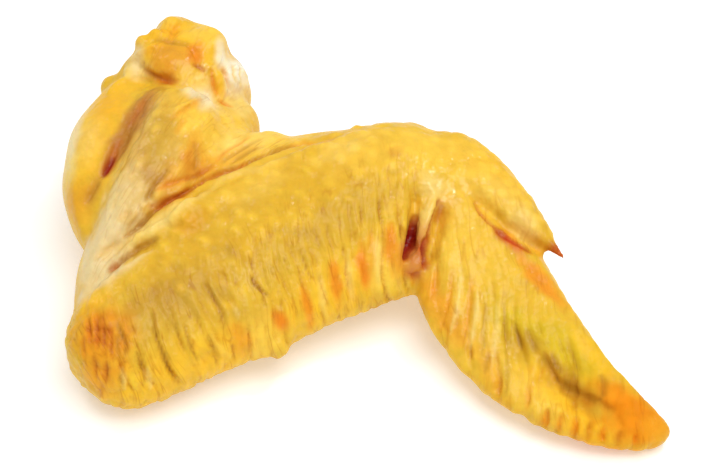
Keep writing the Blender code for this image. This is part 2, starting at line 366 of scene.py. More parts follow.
@dataclass(frozen=True)
class Patch:
    """A soft-edged area of colour on the skin.

    limb: The bone it is placed by.
    centre: The place of its middle.
    reach: Half sizes along the bone and across it, out to where the colour has faded.
    tint: Its colour.
    strength: How much of the colour it brings at its middle.
    turn: Turns the patch to the left, seen from above, in degrees.
    """

    limb: Limb
    centre: Spot
    reach: tuple[float, float]
    tint: Tint
    strength: float = 0.7
    turn: float = 0.0

    def share(self, points: np.ndarray, ragged: np.ndarray) -> np.ndarray:
        """How much of the colour each point takes, with an edge made uneven by noise."""
        return Area(self.limb, self.centre, self.reach, self.strength, self.turn).share(points, ragged)


@dataclass(frozen=True)
class Line:
    """A line on the skin.

    limb: The bone it is placed by.
    points: The places that it passes through.
    """

    limb: Limb
    points: tuple[Spot, ...]

    def on_skin(self, tree: BVHTree) -> np.ndarray:
        """Lays the line on the skin.

        Args:
            tree: The skin.

        Returns:
            Points on the skin, four for each stretch of the line and one at its end.
        """
        bone = self.limb.value
        corners = [Vector(bone.place(*bone.spot(point))) for point in self.points]
        line = []
        for near, far in zip(corners, corners[1:]):
            line += [tree.find_nearest(near.lerp(far, step / 4.0))[0] for step in range(4)]
        line.append(tree.find_nearest(corners[-1])[0])
        return np.array([tuple(point) for point in line])


@dataclass(frozen=True)
class Fold(Line):
    """A narrow crease in the skin, darker or redder at its bottom: the crease's own colour, with painted
    shade in the darker creases.

    width: Half the crease's width.
    depth: How deep it is; below 0 it is a raised strand.
    tint: The colour at its bottom, painted shade included; on most pale raised strands it is a painted
    highlight.
    stain: How much of that colour.
    spread: Half the width that the colour reaches.
    """

    width: float
    depth: float
    tint: Tint = Tint.UMBER
    stain_and_painted_light: float = 0.7
    spread: float = 1.5

    def nearness(self, points: np.ndarray, tree: BVHTree) -> tuple[np.ndarray, np.ndarray]:
        """How far each point is from the crease.

        Args:
            points: Places on the skin.
            tree: The skin, which the crease is laid on.

        Returns:
            The distances, and the crease's fullness there, which fades to 0 at its two ends.
        """
        line = self.on_skin(tree)
        reach = 3.0 * max(self.width, self.spread)
        close = np.all((points > line.min(axis=0) - reach) & (points < line.max(axis=0) + reach), axis=1)
        near_points = points[close]
        nearest = np.full(len(near_points), np.inf)
        share = np.zeros(len(near_points))
        for step, (near, far) in enumerate(zip(line, line[1:])):
            run = far - near
            part = np.clip((near_points - near) @ run / max(run @ run, 1e-9), 0.0, 1.0)
            distance = np.linalg.norm(near_points - near - part[:, None] * run, axis=1)
            closer = distance < nearest
            nearest[closer] = distance[closer]
            share[closer] = (step + part[closer]) / (len(line) - 1)
        full = np.zeros(len(points))
        full[close] = np.clip(4.0 * share * (1.0 - share), 0.0, 1.0) ** 0.6
        everywhere = np.full(len(points), np.inf)
        everywhere[close] = nearest
        return everywhere, full

    def groove(self, distance: np.ndarray, full: np.ndarray) -> np.ndarray:
        """How deep the crease is at points this far from it."""
        width = self.width * (0.35 + 0.65 * full)
        return self.depth * full * np.clip(1.0 - (distance / width) ** 2, 0.0, 1.0) ** 2

    def colour_share(self, distance: np.ndarray, full: np.ndarray, ragged: np.ndarray) -> np.ndarray:
        """How much of its colour the crease gives to points this far from it."""
        spread = self.spread * (0.4 + 0.6 * full) * np.clip(1.0 + 0.45 * ragged, 0.4, 1.6)
        return self.stain_and_painted_light * full**0.7 * np.exp(-((distance / spread) ** 2))


class Side(Enum):
    """Which face of a limb a feature lies on."""

    OUTER = 1.0
    INNER = -1.0


@dataclass(frozen=True)
class GooseBumps:
    """A field of feather follicles that stand up as small bumps.

    limb: The bone that its rows follow.
    side: Which face of the limb.
    along: Where the field starts and ends along the bone.
    left: Its lowest and highest distance to the bone's left.
    pitch: The distance between bumps along the bone and across it.
    size: A bump's half length along the bone and across it.
    height: How far a bump stands up.
    seed: Picks the jitter.
    turn: Turns the rows to the left, seen from above, in degrees.
    edge: How wide the strip is in which the bumps fade in.
    """

    limb: Limb
    side: Side
    along: tuple[float, float]
    left: tuple[float, float]
    pitch: tuple[float, float]
    size: tuple[float, float]
    height: float
    seed: float
    turn: float = 0.0
    edge: float = 3.0

    def inside(self, points: np.ndarray) -> np.ndarray:
        """How far inside the field each point is, from 0 to 1."""
        along, left, up = self.limb.value.measure(points)
        share = smooth_step(up * self.side.value, -1.0, 2.0)
        for value, (start, stop) in ((along, self.along), (left, self.left)):
            share *= between(value, start, start + self.edge, stop - self.edge, stop)
        return share

    def rise(self, points: np.ndarray) -> np.ndarray:
        """The height of the bumps at each point.

        Args:
            points: Places on the skin.

        Returns:
            A share of a full bump for each point, which may pass 1 on the tallest.
        """
        along, left, _ = self.limb.value.measure(points)
        cosine, sine = math.cos(math.radians(self.turn)), math.sin(math.radians(self.turn))
        row = (left * cosine - along * sine) / self.pitch[1]
        place = (along * cosine + left * sine) / self.pitch[0]
        best = np.zeros(len(points))
        for step_row in (-1, 0, 1):
            cell_row = np.floor(row) + step_row
            shifted = place + 0.5 * (cell_row % 2.0)
            for step_column in (-1, 0, 1):
                cell = np.floor(shifted) + step_column
                jitter_a = cell_random(cell, cell_row, self.seed) - 0.5
                jitter_b = cell_random(cell, cell_row, self.seed + 3.1) - 0.5
                tall = 0.15 + 1.1 * cell_random(cell, cell_row, self.seed + 7.7)
                across = (shifted - cell - 0.5 - 0.7 * jitter_a) * self.pitch[0] / self.size[0]
                down = (row - cell_row - 0.5 - 0.7 * jitter_b) * self.pitch[1] / self.size[1]
                best = np.maximum(best, tall * np.exp(-(across**2) - down**2))
        return best * self.inside(points)


@dataclass(frozen=True)
class Strand(Line):
    """A soft cord of membrane, fat or skin that lies on the wing and is grown together with it.

    radius: How thick it is at its middle.
    lift: How far its centre lies above the skin.
    corners: How many corners its round section has.
    """

    radius: float
    lift: float = 0.2
    corners: int = 8

    def add_to(self, shape: bmesh.types.BMesh, tree: BVHTree) -> None:
        """Adds the strand's closed tube to a mesh in metres.

        Args:
            shape: The mesh.
            tree: The skin in millimetres.
        """
        line = self.on_skin(tree)
        normals = np.array([tuple(tree.find_nearest(Vector(p))[1]) for p in line])
        line = line + normals * self.lift
        for _ in range(2):
            line[1:-1] = 0.5 * line[1:-1] + 0.25 * (line[:-2] + line[2:])
        rings = []
        for step, centre in enumerate(line):
            run = line[min(step + 1, len(line) - 1)] - line[max(step - 1, 0)]
            side = np.cross(run, normals[step])
            side /= max(np.linalg.norm(side), 1e-9)
            over = np.cross(side, run)
            over /= max(np.linalg.norm(over), 1e-9)
            part = step / (len(line) - 1)
            radius = self.radius * (0.35 + 0.65 * math.sqrt(max(4.0 * part * (1.0 - part), 0.0)))
            turns = [2.0 * math.pi * n / self.corners for n in range(self.corners)]
            ring = [centre + radius * (math.cos(a) * side + math.sin(a) * over) for a in turns]
            rings.append([shape.verts.new(point * MM) for point in ring])
        for near, far in zip(rings, rings[1:]):
            for n in range(self.corners):
                after = (n + 1) % self.corners
                shape.faces.new((near[n], near[after], far[after], far[n]))
        shape.faces.new(rings[0][::-1])
        shape.faces.new(rings[-1])


@dataclass(frozen=True)
class Nub:
    """A rounded lump of joint or fat that is grown together with the wing.

    limb: The bone it is placed by.
    centre: Along, left and up distances on that bone.
    half_sizes: Its half sizes along the bone, across it and upwards.
    """

    limb: Limb
    centre: tuple[float, float, float]
    half_sizes: tuple[float, float, float]

    def add_to(self, shape: bmesh.types.BMesh, tree: BVHTree) -> None:
        """Adds the lump's closed, slightly uneven ball to a mesh in metres.

        Args:
            shape: The mesh.
            tree: The skin, which a lump doesn't need.
        """
        del tree
        bone = self.limb.value
        made = bmesh.ops.create_icosphere(shape, subdivisions=3, radius=1.0)
        for corner in made["verts"]:
            ball = np.array(corner.co)
            ball = ball * (1.0 + 0.08 * noise.noise(Vector(ball) * 1.7 + Vector(self.centre)))
            corner.co = Vector(bone.place(*(ball * self.half_sizes + np.array(self.centre)))) * MM


class NodeWeb:
    """Adds nodes to a material. What feeds a node is a number, a few numbers or another node's output."""

    def __init__(self, material: bpy.types.Material) -> None:
        """Starts on a material that uses nodes."""
        self.tree = material.node_tree

    def feed(self, socket: bpy.types.NodeSocket, value: Feed) -> None:
        """Sets an input to a value, or links it from an output."""
        if isinstance(value, bpy.types.NodeSocket):
            self.tree.links.new(value, socket)
        else:
            socket.default_value = value

    def node(self, kind: str, inputs: dict[str | int, Feed], **settings: str) -> bpy.types.Node:
        """Adds a node.

        Args:
            kind: The node's type, without its first words ShaderNode.
            inputs: What goes into each input, by the input's name or number.
            settings: The node's own settings.

        Returns:
            The node.
        """
        node = self.tree.nodes.new("ShaderNode" + kind)
        for name, value in settings.items():
            setattr(node, name, value)
        for name, value in inputs.items():
            self.feed(node.inputs[name], value)
        return node

    def attribute(self, name: str, output: str = "Fac") -> bpy.types.NodeSocket:
        """One of the mesh's attributes."""
        return self.node("Attribute", {}, attribute_name=name).outputs[output]

    def math(self, operation: str, *values: Feed) -> bpy.types.NodeSocket:
        """The result of one step of arithmetic."""
        return self.node("Math", dict(enumerate(values)), operation=operation).outputs["Value"]

    def noise(self, place: Feed, scale: float, detail: float) -> bpy.types.NodeSocket:
        """Noise from 0 to 1, with this scale and this many octaves."""
        return self.node("TexNoise", {"Vector": place, "Scale": scale, "Detail": detail}).outputs["Fac"]

    def ramp(self, value: Feed, start: float, stop: float, low: float = 0.0,
             high: float = 1.0) -> bpy.types.NodeSocket:
        """Runs from low to high while the value runs from start to stop."""
        span = {"From Min": start, "From Max": stop, "To Min": low, "To Max": high}
        return self.node("MapRange", {"Value": value, **span}).outputs["Result"]

    def bump(self, height: Feed, strength: float, distance: float, **under: Feed) -> bpy.types.NodeSocket:
        """The surface's normal, bent by a height, on top of an earlier bend if one is given as Normal."""
        inputs = {"Height": height, "Strength": strength, "Distance": distance, **under}
        return self.node("Bump", inputs).outputs["Normal"]

    def darken(self, share: Feed, colour: Feed, factor: tuple[float, ...]) -> bpy.types.NodeSocket:
        """A colour that is multiplied by a factor, as far as the share says."""
        mix = self.node("Mix", {0: share}, data_type="RGBA", blend_type="MULTIPLY")
        first, second = [socket for socket in mix.inputs if socket.type == "RGBA"][:2]
        self.feed(first, colour)
        self.feed(second, factor)
        return next(socket for socket in mix.outputs if socket.type == "RGBA")


@dataclass(frozen=True)
class SkinFinish:
    """Moist raw skin: painted colour, fine mottling, pores, stretched wrinkles with painted shade along
    their lines, and a wet coat.

    A scale is in lumps per metre. A bump is its strength and its height in metres. The line fields say
    how far the fine crease lines are stretched, how wide they are, how dark the painted shade along them
    is and what it multiplies the colour by.
    """

    roughness: float = 0.47
    mirror: float = 0.09
    coat: float = 0.22
    wet_coat: float = 0.85
    coat_roughness: float = 0.10
    glow: float = 0.15
    glow_reach: float = 0.0018
    glow_colour: tuple[float, float, float] = (1.0, 0.5, 0.18)
    line_stretch: tuple[float, float, float] = (1.45, 0.75, 0.75)
    line_width: float = 0.07
    line_shade: float = 0.6
    line_shade_colour: tuple[float, ...] = (0.72, 0.50, 0.25, 1.0)
    mottle_scale: float = 420.0
    pebble_scale: float = 620.0
    pebble_bump: tuple[float, float] = (0.42, 0.0007)
    pore_scale: float = 1500.0
    pore_bump: tuple[float, float] = (0.35, 0.00015)
    wrinkle_bump: tuple[float, float] = (0.45, 0.0006)

    def build(self) -> bpy.types.Material:
        """Makes the material.

        Returns:
            The skin's material, which reads the skin's tint, wet, grain and crinkle attributes.
        """
        skin = bpy.data.materials.new("moist_skin")
        skin.use_nodes = True
        web = NodeWeb(skin)
        place = web.node("TexCoord", {}).outputs["Object"]
        grain, crinkle = web.attribute("grain", "Vector"), web.attribute("crinkle")
        wet = web.attribute("wet")
        shine = web.ramp(wet, -1.0, 0.0)
        mottle = web.noise(place, self.mottle_scale, 3.0)
        mottled = {"Color": web.attribute("tint", "Color"), "Value": web.ramp(mottle, 0.3, 0.7, 0.94, 1.05)}
        tone = web.node("HueSaturation", mottled).outputs["Color"]

        stretched = web.node("VectorMath", {0: grain, 1: self.line_stretch}, operation="MULTIPLY")
        lines = web.noise(stretched.outputs["Vector"], 1.0, 1.5)
        off_line = web.math("ABSOLUTE", web.math("SUBTRACT", lines, 0.5))
        streaks = web.noise(grain, 1.0, 1.0)
        # Painted shade along the fine wrinkle lines, where the coarse streaks are strong and the skin
        # crinkles.
        line = web.ramp(off_line, 0.0, self.line_width, self.line_shade, 0.0)
        line = web.math("MULTIPLY", web.math("MULTIPLY", line, web.ramp(streaks, 0.46, 0.64)), crinkle)

        pores = web.bump(web.noise(place, self.pore_scale, 2.0), *self.pore_bump)
        pebbles = web.bump(web.noise(place, self.pebble_scale, 1.0), *self.pebble_bump, Normal=pores)
        streak_height = web.math("ADD", streaks, web.math("MULTIPLY", off_line, 1.3))
        wrinkles = web.bump(web.math("MULTIPLY", streak_height, crinkle), *self.wrinkle_bump, Normal=pebbles)

        coat = web.ramp(wet, 0.0, 1.0, self.coat, self.wet_coat)
        shader = skin.node_tree.nodes["Principled BSDF"]
        for name, value in {
            "Base Color": web.darken(line, tone, self.line_shade_colour),
            "Roughness": web.ramp(mottle, 0.3, 0.7, self.roughness - 0.1, self.roughness + 0.12),
            "Specular IOR Level": web.math("MULTIPLY", shine, self.mirror),
            "Coat Weight": web.math("MULTIPLY", coat, shine),
            "Coat Roughness": self.coat_roughness,
            "Subsurface Weight": self.glow,
            "Subsurface Radius": self.glow_colour,
            "Subsurface Scale": self.glow_reach,
            "Normal": wrinkles,
            "Coat Normal": wrinkles,
        }.items():
            web.feed(shader.inputs[name], value)
        return skin


def wing_patches() -> tuple[Patch, ...]:
    """The wing's areas of colour, from the broad to the small; some of them paint shade or highlights, as
    marked.
    """
    arm, flat, hand = Limb.HUMERUS, Limb.ULNA, Limb.HAND
    return (
        # The drumette.
        Patch(arm, (45, 14, 11), (24, 12), Tint.LEMON, 0.75),
        Patch(arm, (78, 140), (12, 5), Tint.BUTTER, 0.8),
        Patch(arm, (88, 137), (9, 6), Tint.PEARL, 0.06),
        # The flap's pale left edge: pale skin together with painted rim light on the side turned from the
        # key light.
        Patch(arm, (68, 165), (12, 3.5), Tint.CREAM, 0.8),
        Patch(arm, (72, 135), (10, 2.6), Tint.PEARL, 0.35),
        Patch(arm, (74, 203), (7, 6), Tint.HONEY, 0.55),
        Patch(arm, (110, 105), (8, 6), Tint.HONEY, 0.35),
        Patch(arm, (37, -1, 15), (25, 12), Tint.SAND, 0.95),
        Patch(arm, (120, 205), (12, 9), Tint.BLUSH, 0.55),
        Patch(arm, (160, 150), (12, 4), Tint.OLIVE_SHADE, 0.5),
        Patch(arm, (195, 115), (12, 11), Tint.BUTTER, 0.95),
        # Pale skin at the drumette's rim with a painted highlight.
        Patch(arm, (205, 92), (7, 7), Tint.PEARL, 0.72),
        Patch(arm, (232, 128), (9, 9), Tint.BUTTER, 0.9),
        Patch(arm, (194, 156), (8, 3.6), Tint.HONEY, 0.8, 10.0),
        Patch(arm, (176, 176), (8, 4), Tint.HONEY, 0.5, -30.0),
        Patch(arm, (194, 170), (5, 4), Tint.RUST, 0.22),
        Patch(arm, (210, 165), (6, 3), Tint.HONEY, 0.7, -20.0),
        # A painted shadow spot on the drumette.
        Patch(arm, (150, 174), (3.4, 2.6), Tint.UMBER, 0.35),
        Patch(arm, (160, 132), (11, 4.5), Tint.OLIVE_SHADE, 0.75),
        # Brown band along the triceps crease: brown streaks with painted shade of the crease.
        Patch(arm, (145, 104), (8, 3.6), Tint.FAWN, 0.8, -15.0),
        Patch(arm, (136, 120), (8, 3.8), Tint.FAWN, 0.75, -15.0),
        Patch(arm, (127, 138), (8, 3.8), Tint.FAWN, 0.78, -15.0),
        Patch(arm, (118, 153), (7, 3.4), Tint.FAWN, 0.8, -15.0),
        Patch(arm, (94, 190), (7, 2.2), Tint.FAWN, 0.3, -10.0),
        Patch(arm, (110, 168), (4.2, 1.8), Tint.CRIMSON, 0.8, -15.0),
        Patch(arm, (118, 150), (6, 2.4), Tint.UMBER, 0.2, -15.0),
        Patch(arm, (106, 240), (13, 9), Tint.BLUSH, 0.9),
        Patch(arm, (92, 262), (12, 8), Tint.BLUSH, 0.9),
        # The skin web.
        Patch(flat, (47, 20, 10), (20, 9), Tint.BUTTER, 0.9),
        Patch(flat, (285, 136), (10, 5), Tint.CREAM, 0.08),
        Patch(arm, (250, 134), (8, 7), Tint.CREAM, 0.35),
        Patch(arm, (228, 148), (7, 4), Tint.CREAM, 0.35),
        Patch(flat, (232, 157), (9, 3), Tint.HONEY, 0.5),
        # The flat.
        Patch(flat, (36, -2, 10), (34, 16), Tint.GOLD, 0.9),
        # Olive patches on the flat: olive skin together with painted shade on its middle and lower left.
        Patch(flat, (10, -4, 8), (20, 10), Tint.OLIVE_SHADE, 0.95),
        Patch(flat, (150, 300), (8, 4), Tint.UMBER, 0.12),
        Patch(flat, (28, 4, 10), (22, 8), Tint.OLIVE_SHADE, 0.25),
        Patch(flat, (34, -8, 8), (20, 6), Tint.OLIVE_SHADE, 0.45),
        Patch(flat, (62, 4, 12), (13, 12), Tint.BUTTER, 0.75),
        Patch(flat, (42, 9, 12), (18, 5), Tint.BUTTER, 0.45),
        Patch(flat, (345, 212), (17, 7), Tint.OLIVE_SHADE, 0.6),
        Patch(flat, (240, 318), (9, 4), Tint.OLIVE_SHADE, 0.5),
        Patch(flat, (340, 148), (9, 4), Tint.CREAM, 0.25),
        Patch(flat, (260, 190), (10, 4), Tint.CREAM, 0.15),
        Patch(flat, (20, 11, 12), (13, 3.6), Tint.CREAM, 0.75),
        Patch(flat, (100, 280), (9, 4.5), Tint.BLUSH, 0.9),
        Patch(flat, (90, 300), (6, 5), Tint.LEMON, 0.5),
        Patch(flat, (101, 336), (9.5, 9.5), Tint.AMBER, 0.72),
        Patch(flat, (101, 330), (5, 4), Tint.RUST, 0.12),
        Patch(flat, (100, 375), (9, 7), Tint.HONEY, 0.9),
        Patch(flat, (150, 385), (14, 6), Tint.LEMON, 0.7),
        Patch(flat, (225, 355), (12, 7), Tint.LEMON, 0.8),
        Patch(flat, (266, 335), (7, 5), Tint.BUTTER, 0.7),
        Patch(flat, (340, 290), (18, 8), Tint.LEMON, 0.85),
        Patch(flat, (385, 270), (8, 8), Tint.BUTTER, 0.7),
        Patch(flat, (240, 338), (3, 3), Tint.HONEY, 0.8),
        Patch(flat, (281, 321), (2, 2.4), Tint.AMBER, 0.95),
        Patch(flat, (307, 303), (1.6, 5), Tint.AMBER, 0.8, -28.0),
        Patch(flat, (336, 282), (1.7, 6), Tint.AMBER, 0.8, -30.0),
        Patch(flat, (363, 268), (1.8, 6), Tint.AMBER, 0.95, -34.0),
        Patch(flat, (372, 250), (1.4, 5), Tint.HONEY, 0.6, -34.0),
        Patch(flat, (391, 246), (2, 7), Tint.AMBER, 0.7, -36.0),
        Patch(flat, (400, 262), (2.4, 4), Tint.HONEY, 0.8, -36.0),
        # Painted highlights on the ridges beside the orange streaks.
        Patch(flat, (322, 292), (1.2, 5), Tint.CREAM, 0.4, -28.0),
        Patch(flat, (349, 276), (1.3, 6), Tint.CREAM, 0.45, -32.0),
        Patch(flat, (378, 258), (1.3, 6), Tint.CREAM, 0.45, -34.0),
        Patch(flat, (190, 222), (6, 3), Tint.HONEY, 0.4),
        Patch(flat, (216, 292), (4, 2.6), Tint.OLIVE_SHADE, 0.9),
        Patch(flat, (186, 300), (3, 2), Tint.OLIVE_SHADE, 0.9),
        Patch(flat, (148, 300), (9, 4), Tint.UMBER, 0.18),
        Patch(flat, (226, 252), (3.4, 2.6), Tint.OLIVE_SHADE, 0.9),
        Patch(flat, (396, 151), (2.2, 1.6), Tint.RUST, 0.45),
        # The wrist.
        Patch(hand, (2, -3, 9), (12, 10), Tint.BUTTER, 0.6),
        # Pale wet membrane at the wrist, with painted sparkle highlights.
        Patch(hand, (434, 188), (5, 4), Tint.CREAM, 0.7),
        Patch(hand, (424, 222), (6, 2.6), Tint.CREAM, 0.75, -50.0),
        Patch(hand, (414, 262), (3.6, 4.5), Tint.RUST, 0.4),
        Patch(hand, (423, 238), (4.5, 2.2), Tint.FLESH, 0.85, -50.0),
        Patch(flat, (412, 254), (3.4, 3.4), Tint.FLESH, 0.95),
        Patch(flat, (416, 266), (3.4, 3), Tint.FLESH, 0.9),
        Patch(hand, (445, 212), (6, 2.4), Tint.HONEY, 0.35, -35.0),
        # The thumb.
        Patch(hand, (15, 5, 8), (20, 9), Tint.BUTTER, 0.8),
        Patch(hand, (500, 170), (10, 7), Tint.LEMON, 0.5),
        Patch(hand, (532, 240), (8, 2.2), Tint.HONEY, 0.6),
        Patch(hand, (526, 222), (7, 3.8), Tint.CREAM, 0.6),
        Patch(hand, (500, 190), (8, 4), Tint.CREAM, 0.2),
        Patch(hand, (514, 242), (7, 2), Tint.AMBER, 0.6, -8.0),
        Patch(hand, (559, 251), (4, 3), Tint.RUST, 1.0),
        # The tip.
        Patch(hand, (465, 240), (16, 10), Tint.BUTTER, 0.55),
        Patch(hand, (541, 282), (10, 3), Tint.AMBER, 0.75, 2.0),
        Patch(hand, (440, 308), (13, 3.4), Tint.HONEY, 0.75, -8.0),
        Patch(hand, (480, 345), (14, 6), Tint.BUTTER, 0.3),
        Patch(hand, (452, 322), (12, 2.4), Tint.HONEY, 0.5, -8.0),
        Patch(hand, (490, 372), (12, 2.4), Tint.HONEY, 0.45, -14.0),
        Patch(hand, (520, 335), (14, 6.5), Tint.MOSS, 0.75),
        Patch(hand, (568, 350), (12, 6), Tint.MOSS, 0.8),
        Patch(hand, (530, 350), (8, 4), Tint.UMBER, 0.35, 20.0),
        Patch(hand, (570, 408), (20, 5), Tint.LEMON, 0.95),
        Patch(hand, (532, 396), (12, 5), Tint.BUTTER, 0.55),
        # The tip's furrow: its brown tone with painted shade.
        Patch(hand, (577, 390), (12, 2.6), Tint.UMBER, 0.6, -2.0),
        Patch(hand, (615, 398), (8, 5), Tint.AMBER, 0.8, 12.0),
        Patch(hand, (640, 420), (9, 8), Tint.AMBER, 0.9),
        Patch(hand, (655, 428), (4, 4), Tint.HONEY, 0.6),
        Patch(hand, (590, 352), (8, 2.6), Tint.LEMON, 0.6),
        # The cut shoulder.
        Patch(arm, (68, 0, 14), (12, 14), Tint.LEMON, 0.9),
        Patch(arm, (205, 34), (6, 6), Tint.BUTTER, 0.8),
        Patch(arm, (166, 24), (4, 4), Tint.BUTTER, 0.7),
        Patch(arm, (171, 56), (5.5, 7), Tint.HONEY, 0.9),
        Patch(arm, (174, 58), (4.5, 6.5), Tint.UMBER, 0.2),
        Patch(arm, (196, 52), (4, 2.4), Tint.AMBER, 0.6),
        Patch(arm, (173, 32), (3, 2.4), Tint.AMBER, 0.3),
        Patch(arm, (167, 73), (2.6, 4.2), Tint.AMBER, 0.2),
        # The white membrane lobe, with painted highlights on it.
        Patch(arm, (235, 74), (6.5, 5), Tint.PEARL, 1.0),
        Patch(arm, (241, 101), (7, 5), Tint.CREAM, 0.7),
        Patch(arm, (219, 84), (5.4, 2), Tint.LEMON, 0.9),
        Patch(arm, (136, 76), (3.4, 6), Tint.CREAM, 0.9),
        Patch(arm, (137, 58), (5, 2.4), Tint.BLUSH, 0.7),
        Patch(arm, (194, 82), (2.8, 5), Tint.BUTTER, 0.6),
        Patch(arm, (221, 55), (5, 1.8), Tint.PEARL, 0.6),
        # The back and the underside.
        Patch(arm, (30, -12, -2), (16, 9), Tint.SAND, 0.5),
        Patch(arm, (52, 12, -4), (12, 8), Tint.BLUSH, 0.35),
        Patch(flat, (34, 16, 2), (20, 5), Tint.HONEY, 0.3),
        Patch(flat, (58, 10, 0), (12, 8), Tint.OLIVE_SHADE, 0.35),
        Patch(hand, (40, 2, -2), (24, 4), Tint.HONEY, 0.35),
        Patch(arm, (35, 0, -16), (34, 22), Tint.BUTTER, 0.6),
        Patch(flat, (32, 0, -10), (40, 20), Tint.CREAM, 0.55),
        Patch(hand, (40, -10, -5), (36, 18), Tint.BUTTER, 0.5),
        Patch(flat, (48, 18, -6), (18, 10), Tint.CREAM, 0.6),
        Patch(hand, (68, -8, -4), (14, 12), Tint.AMBER, 0.5),
        Patch(arm, (64, 0, -8), (10, 12), Tint.HONEY, 0.6),
    )


